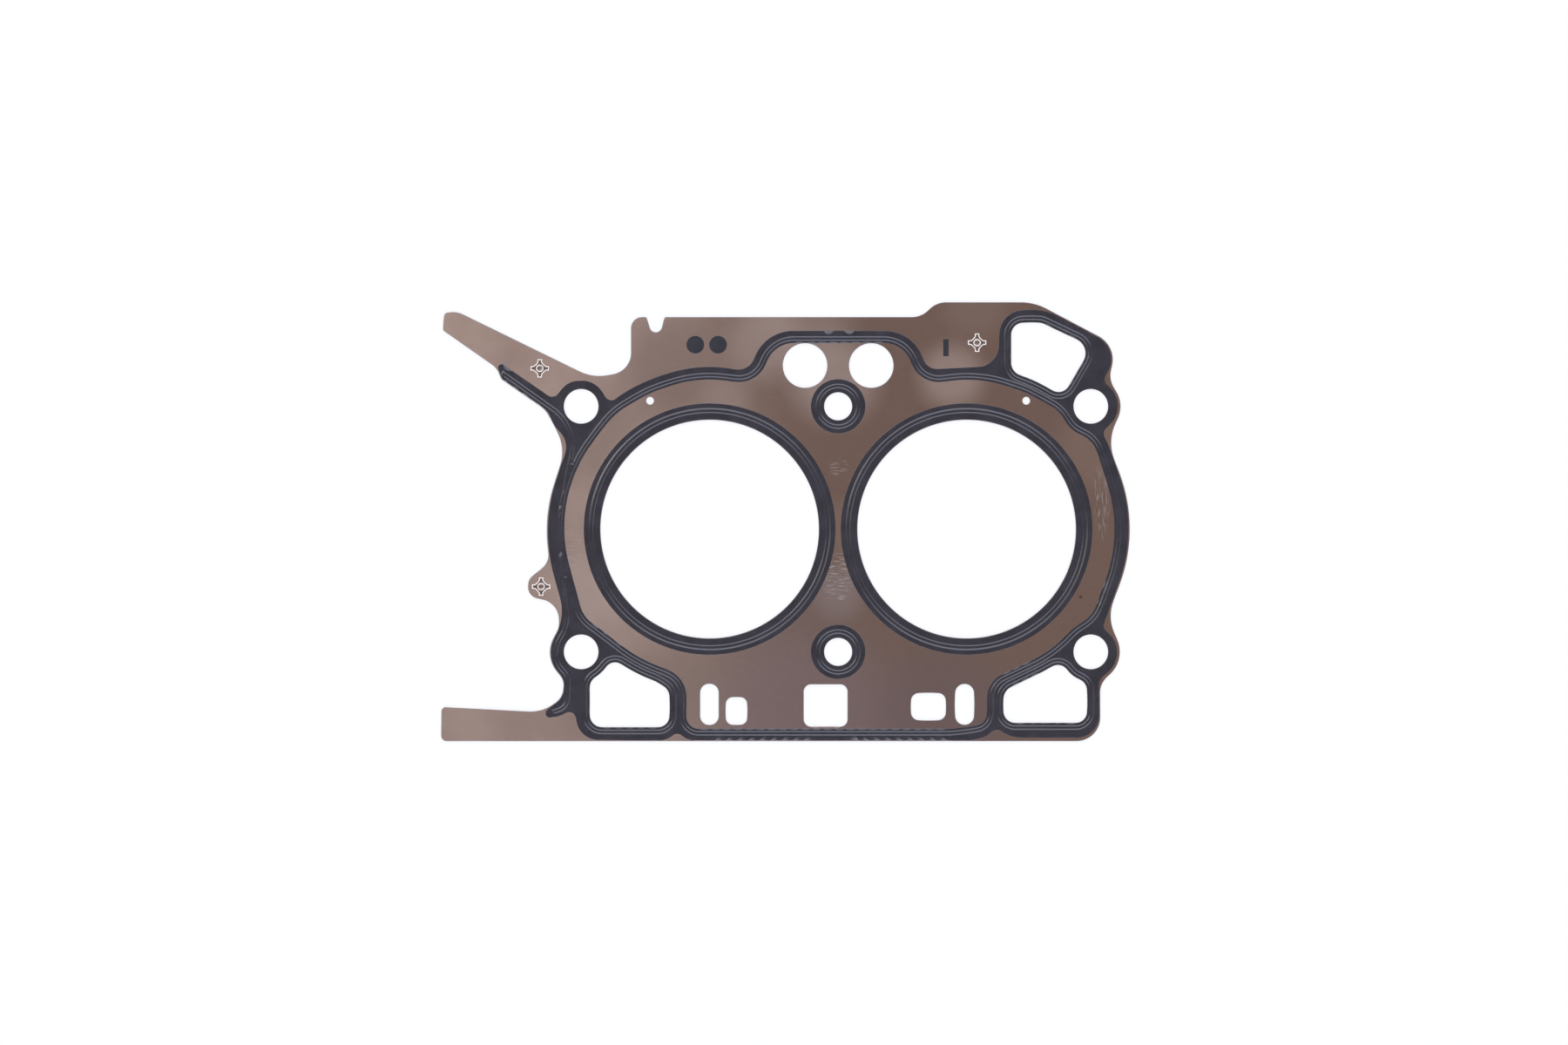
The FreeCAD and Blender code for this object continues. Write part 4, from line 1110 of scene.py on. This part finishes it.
@dataclass(frozen=True)
class RubberPrints:
    """All the prints that seal: the tracks, the two bores and the two centre bolts, on both sides."""

    heights: StackHeights
    kinds: tuple[str, ...] = (
        "track_coat", "bore_coat_left", "bore_coat_right", "bolt_coat_low", "bolt_coat_high",
    )

    def build(self, embossing: Embossing, finishes: Finishes) -> None:
        """Make and dress each print twice, above and below."""
        for kind in self.kinds:
            skin = RubberPrint(f"upper_{kind}", self.heights)
            plan = skin.plan(embossing)
            for side in Side:
                piece = skin.build(f"{side.value}_{kind.replace('coat', 'print')}", side, plan)
                mount_piece(piece, [f"{side.value}_{kind}"], finishes.rubber)


@dataclass(frozen=True)
class StopperRing:
    """The hard ring round a bore, between the two pressed sheets."""

    side: str
    corner: float = 0.09
    turns: int = 360

    def build(self) -> Piece:
        """Turn its rounded section round the bore axis."""
        node = f"stopper_ring_{self.side}"
        low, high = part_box(node)
        axis = bore_axis(self.side)
        radius = radii_from(axis, CadSkin.of(node).points[:, :2])
        section = rounded_section(
            radius.min(), radius.max(), low.z / MM, high.z / MM, self.corner,
        )
        points, faces = turned_arrays(section, axis, self.turns)
        piece = put_mesh(f"stopper_{self.side}", points, [faces])
        put_values(piece, "margin", np.ones(len(piece.data.vertices)))
        return piece

    def dress(self, piece: Piece, finishes: Finishes) -> None:
        """Give it its steel."""
        mount_piece(piece, [f"stopper_ring_{self.side}"], finishes.stopper)


@dataclass(frozen=True)
class StarEyelet:
    """A closed eyelet that holds the sheets together, with a four-armed head.

    The head swells from its thin edge to its full thickness as half a cosine wave. The shank is
    turned: a cup with a rolled lip on top, a round foot with a dimple below.
    """

    node: str
    swell: float = 0.3
    edge_share: float = 0.8
    lip: float = 0.22
    turns: int = 64
    lip_places: int = 9
    crease: float = 50.0
    head_rows: tuple[float, ...] = (0.08, 0.2, 0.35, 0.5)
    round_piece: float = 0.15
    straight_piece: float = 0.3
    # Places of the shank's section, in mm out and up: the cup's floor from its wall, the foot's two
    # edges from its rim, and the dimple below from the cup's wall; then the dimple's depth
    floor_places: tuple = ((-0.2, 0.0), (-0.05, 0.08))
    foot_top: tuple = ((-0.05, 0.0), (0.0, -0.05))
    foot_bottom: tuple = ((-0.02, 0.03), (-0.1, 0.0))
    dimple_places: tuple = ((0.2, 0.0), (-0.1, 0.12))
    dimple_depth: float = 0.15
    # How near a place has to be to a level or a radius, in mm, to count as on it
    reach: float = 0.01

    def build(self, heights: StackHeights) -> Piece:
        """Make the head and the shank as two closed shells of one piece."""
        low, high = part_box(self.node)
        axis = np.array([(low.x + high.x) / 2, (low.y + high.y) / 2]) / MM
        bottom = low.z / MM
        top = high.z / MM
        skin = CadSkin.of(self.node)
        at_top = skin.upper_faces() & (skin.points[skin.faces, 2].min(axis=1) > top - SAME_HEIGHT)
        domain = skin.rim(at_top).smoothed(self.round_piece, self.straight_piece)
        rows = np.vstack([domain.beside(distance) for distance in self.head_rows])
        places, faces = filled(domain, None, rows)
        margin = domain.distance(places)
        share = self.edge_share + (1 - self.edge_share) * eased(margin / self.swell)
        upper = heights.top_face + (top - heights.top_face) * share
        lower = np.full(len(places), heights.top_face)
        head, head_faces = shell_arrays(places, faces, upper, lower)
        cup = radii_from(axis, domain.points).min()
        lowest = skin.points[skin.points[:, 2] < bottom + self.reach]
        foot = radii_from(axis, lowest[:, :2]).max()
        section = self.section(cup, foot, bottom, top, heights)
        shank, shank_faces = turned_arrays(section, axis, self.turns)
        points = np.vstack([head, shank])
        polygons = [*head_faces, shank_faces + len(head)]
        piece = put_mesh(self.node.replace("eyelet", "star"), points, polygons, self.crease)
        # The rolled lip gets a margin of 0, so the material paints it with the pale edge colour: a painted
        # highlight
        outside_cup = radii_from(axis, shank[:, :2]) > cup - self.reach
        highlight_lip = (shank[:, 2] > top - self.lip) & outside_cup
        put_values(piece, "margin", np.concatenate([margin, margin, np.where(highlight_lip, 0.0, 1.0)]))
        return piece

    def section(
        self, cup: float, foot: float, bottom: float, top: float, heights: StackHeights,
    ) -> Array:
        """Section of the cup, its lip, the shank and the foot.

        The lip is the upper half of an ellipse, from the cup's wall to the shank.

        Args:
            cup: radius of the cup's wall, in mm.
            foot: radius of the foot, in mm.
            bottom: height of the foot's lower side, in mm.
            top: height of the lip's upper side, in mm.
            heights: the stack's heights.

        Returns:
            Radii and heights in mm, clockwise from the middle of the cup's floor.
        """
        floor = heights.sheet_face - (heights.sheet_face - heights.middle) / 2
        under = 2 * heights.middle - heights.top_face
        turn = np.linspace(np.pi, 0, self.lip_places)
        lip = np.column_stack([
            cup + self.lip + self.lip * np.cos(turn),
            top - 0.5 * self.lip + 0.5 * self.lip * np.sin(turn),
        ])
        return np.vstack([
            (0.0, floor),
            np.add((cup, floor), self.floor_places),
            lip,
            (cup + 2 * self.lip, under),
            np.add((foot, under), self.foot_top),
            np.add((foot, bottom), self.foot_bottom),
            np.add((cup, bottom), self.dimple_places),
            (0.0, bottom + self.dimple_depth),
        ])

    def dress(self, piece: Piece, finishes: Finishes) -> None:
        """Give it its steel."""
        mount_piece(piece, [self.node], finishes.eyelet)


@dataclass(frozen=True)
class PrintedMarks:
    """The two locating dots and the orientation bar, printed on the upper sheet."""

    heights: StackHeights
    nodes: tuple[str, ...] = ("printed_dot_left", "printed_dot_right", "printed_bar")

    def build(self, finishes: Finishes) -> None:
        """Make and dress each mark."""
        for node in self.nodes:
            skin = RubberPrint(node, self.heights)
            piece = skin.build(node.replace("printed", "ink"), Side.UPPER, skin.plan(None))
            mount_piece(piece, [node], finishes.ink)


# The studio
@dataclass(frozen=True)
class Studio:
    """A pale floor, soft lamps and the camera, straight above the gasket.

    The picture's width at the gasket is picture_width, and lens is its focal length for a film as
    wide as the sensor, so the camera's height is width times lens over sensor.
    """

    picture_width: float = 0.6894
    centre_x: float = -0.0238
    centre_y: float = 0.0029
    lens: float = 100.0
    sensor: float = 36.0
    floor_size: float = 4.0
    dim_glow: float = 0.15
    strip_glow: float = 2.5
    strip_near: tuple[float, float] = (0.27, 0.42)
    strip_far: tuple[float, float] = (0.82, 0.92)
    strip_foot: tuple[float, float] = (0.30, 0.52)
    wall_glow: float = 0.45
    strip_colour: str = "#e6ecff"
    floor_drop: float = 0.05
    floor_colour: str = "#f2f2f0"
    floor_white: float = 0.8
    far_clip: float = 50.0
    lamps: tuple = (
        ("left_lamp", (-0.75, 0.35, 1.20), 0.40, 2.0),
        ("right_lamp", (0.80, -0.20, 1.20), 0.40, 1.0),
    )

    def build(self, heights: StackHeights) -> None:
        """Make the floor, the lamps, the world and the camera."""
        self.floor()
        for name, place, size, power in self.lamps:
            self.lamp(name, place, size, power)
        self.world()
        self.camera(heights.top_face * MM)
        bpy.context.scene.view_settings.view_transform = "Standard"

    def floor(self) -> None:
        """A white floor that keeps the shadow: the part seen directly is mixed with plain white."""
        half = self.floor_size / 2
        drop = -self.floor_drop * MM
        corners = [(-half, -half, drop), (half, -half, drop), (half, half, drop), (-half, half, drop)]
        mesh = bpy.data.meshes.new("floor")
        mesh.from_pydata(corners, [], [(0, 1, 2, 3)])
        piece = bpy.data.objects.new("floor", mesh)
        bpy.context.scene.collection.objects.link(piece)
        material, tree = new_tree("white paper sweep")
        ray = add(tree, "LightPath").outputs
        seen = add(tree, "Math", (ray["Is Camera Ray"], ray["Is Glossy Ray"]), operation="MAXIMUM")
        seen = add(tree, "Math", (seen, ray["Is Transmission Ray"]), operation="MAXIMUM")
        share = add(tree, "Math", (seen, self.floor_white), operation="MULTIPLY")
        matt = add(tree, "BsdfDiffuse", (linear(self.floor_colour),))
        white = add(tree, "Emission", (linear("#ffffff"), 1.0))
        mixed = add(tree, "MixShader", (share, matt, white))
        add(tree, "OutputMaterial", (mixed,))
        mesh.materials.append(material)

    def lamp(self, name: str, place: tuple[float, float, float], size: float, power: float) -> None:
        """A square soft lamp that points at the middle of the gasket.

        Args:
            name: name of the lamp.
            place: where it hangs, in metres.
            size: the side of its square, in metres.
            power: its power in watts.
        """
        data = bpy.data.lights.new(name, "AREA")
        data.shape = "SQUARE"
        data.size = size
        data.energy = power
        lamp = bpy.data.objects.new(name, data)
        lamp.location = place
        lamp.rotation_mode = "QUATERNION"
        lamp.rotation_quaternion = (-Vector(place)).to_track_quat("-Z", "Y")
        lamp.visible_camera = False
        bpy.context.scene.collection.objects.link(lamp)

    def world(self) -> None:
        """A room with a dim ceiling, pale walls and a long strip of light on each side of the gasket.

        Both strips run along X over the whole room. Each is seen where the direction's part along Y
        lies between the strip's near and far edge, and fades out into the walls below it.
        """
        world = bpy.data.worlds.new("strip_lights")
        world.use_nodes = True
        tree = world.node_tree
        tree.nodes.clear()
        direction = add(tree, "TexCoord").outputs["Generated"]
        parts = add(tree, "SeparateXYZ", (direction,)).outputs
        across = add(tree, "Math", (parts["Y"],), operation="ABSOLUTE")
        changes = (
            (across, self.strip_near, 0.0, 1.0),
            (across, self.strip_far, 1.0, 0.0),
            (parts["Z"], self.strip_foot, 0.0, 1.0),
            (parts["Z"], self.strip_foot, self.dim_glow + self.wall_glow, self.dim_glow),
        )
        near, far, foot, walls = (
            add(tree, "MapRange", (value, *span, start, end), interpolation_type="SMOOTHSTEP")
            for value, span, start, end in changes
        )
        strip = add(tree, "Math", (near, far), operation="MULTIPLY")
        strip = add(tree, "Math", (strip, foot), operation="MULTIPLY")
        glow = add(tree, "Math", (strip, self.strip_glow, walls), operation="MULTIPLY_ADD")
        light = add(tree, "Background", (linear(self.strip_colour), glow))
        add(tree, "OutputWorld", (light,))
        bpy.context.scene.world = world

    def camera(self, level: float) -> None:
        """The camera, over the middle of the picture and square to the sheet.

        Args:
            level: height of the upper sheet's face, in metres.
        """
        data = bpy.data.cameras.new("camera")
        data.lens = self.lens
        data.sensor_width = self.sensor
        data.clip_end = self.far_clip
        camera = bpy.data.objects.new("camera", data)
        distance = self.picture_width * self.lens / self.sensor
        camera.location = (self.centre_x, self.centre_y, level + distance)
        bpy.context.scene.collection.objects.link(camera)
        bpy.context.scene.camera = camera


def main() -> None:
    """Build the stack from the middle outwards, then the studio."""
    logging.basicConfig(level=logging.INFO, format="%(name)s: %(message)s")
    finishes = Finishes.made()
    heights = StackHeights.read()
    embossing = Embossing.read()
    carrier = Carrier(heights)
    carrier.dress(carrier.build(), finishes)
    sheet = PressedSheet(SkinPlan.of("upper_layer", embossing, PressedSheet.edge_rows), heights)
    for side in Side:
        sheet.dress(sheet.build(side), side, finishes)
    RubberPrints(heights).build(embossing, finishes)
    for side in ("left", "right"):
        ring = StopperRing(side)
        ring.dress(ring.build(), finishes)
    for node in ("upper_arm_eyelet", "side_lobe_eyelet", "top_edge_eyelet"):
        eyelet = StarEyelet(node)
        eyelet.dress(eyelet.build(heights), finishes)
    PrintedMarks(heights).build(finishes)
    Studio().build(heights)


if __name__ == "__main__":
    main()
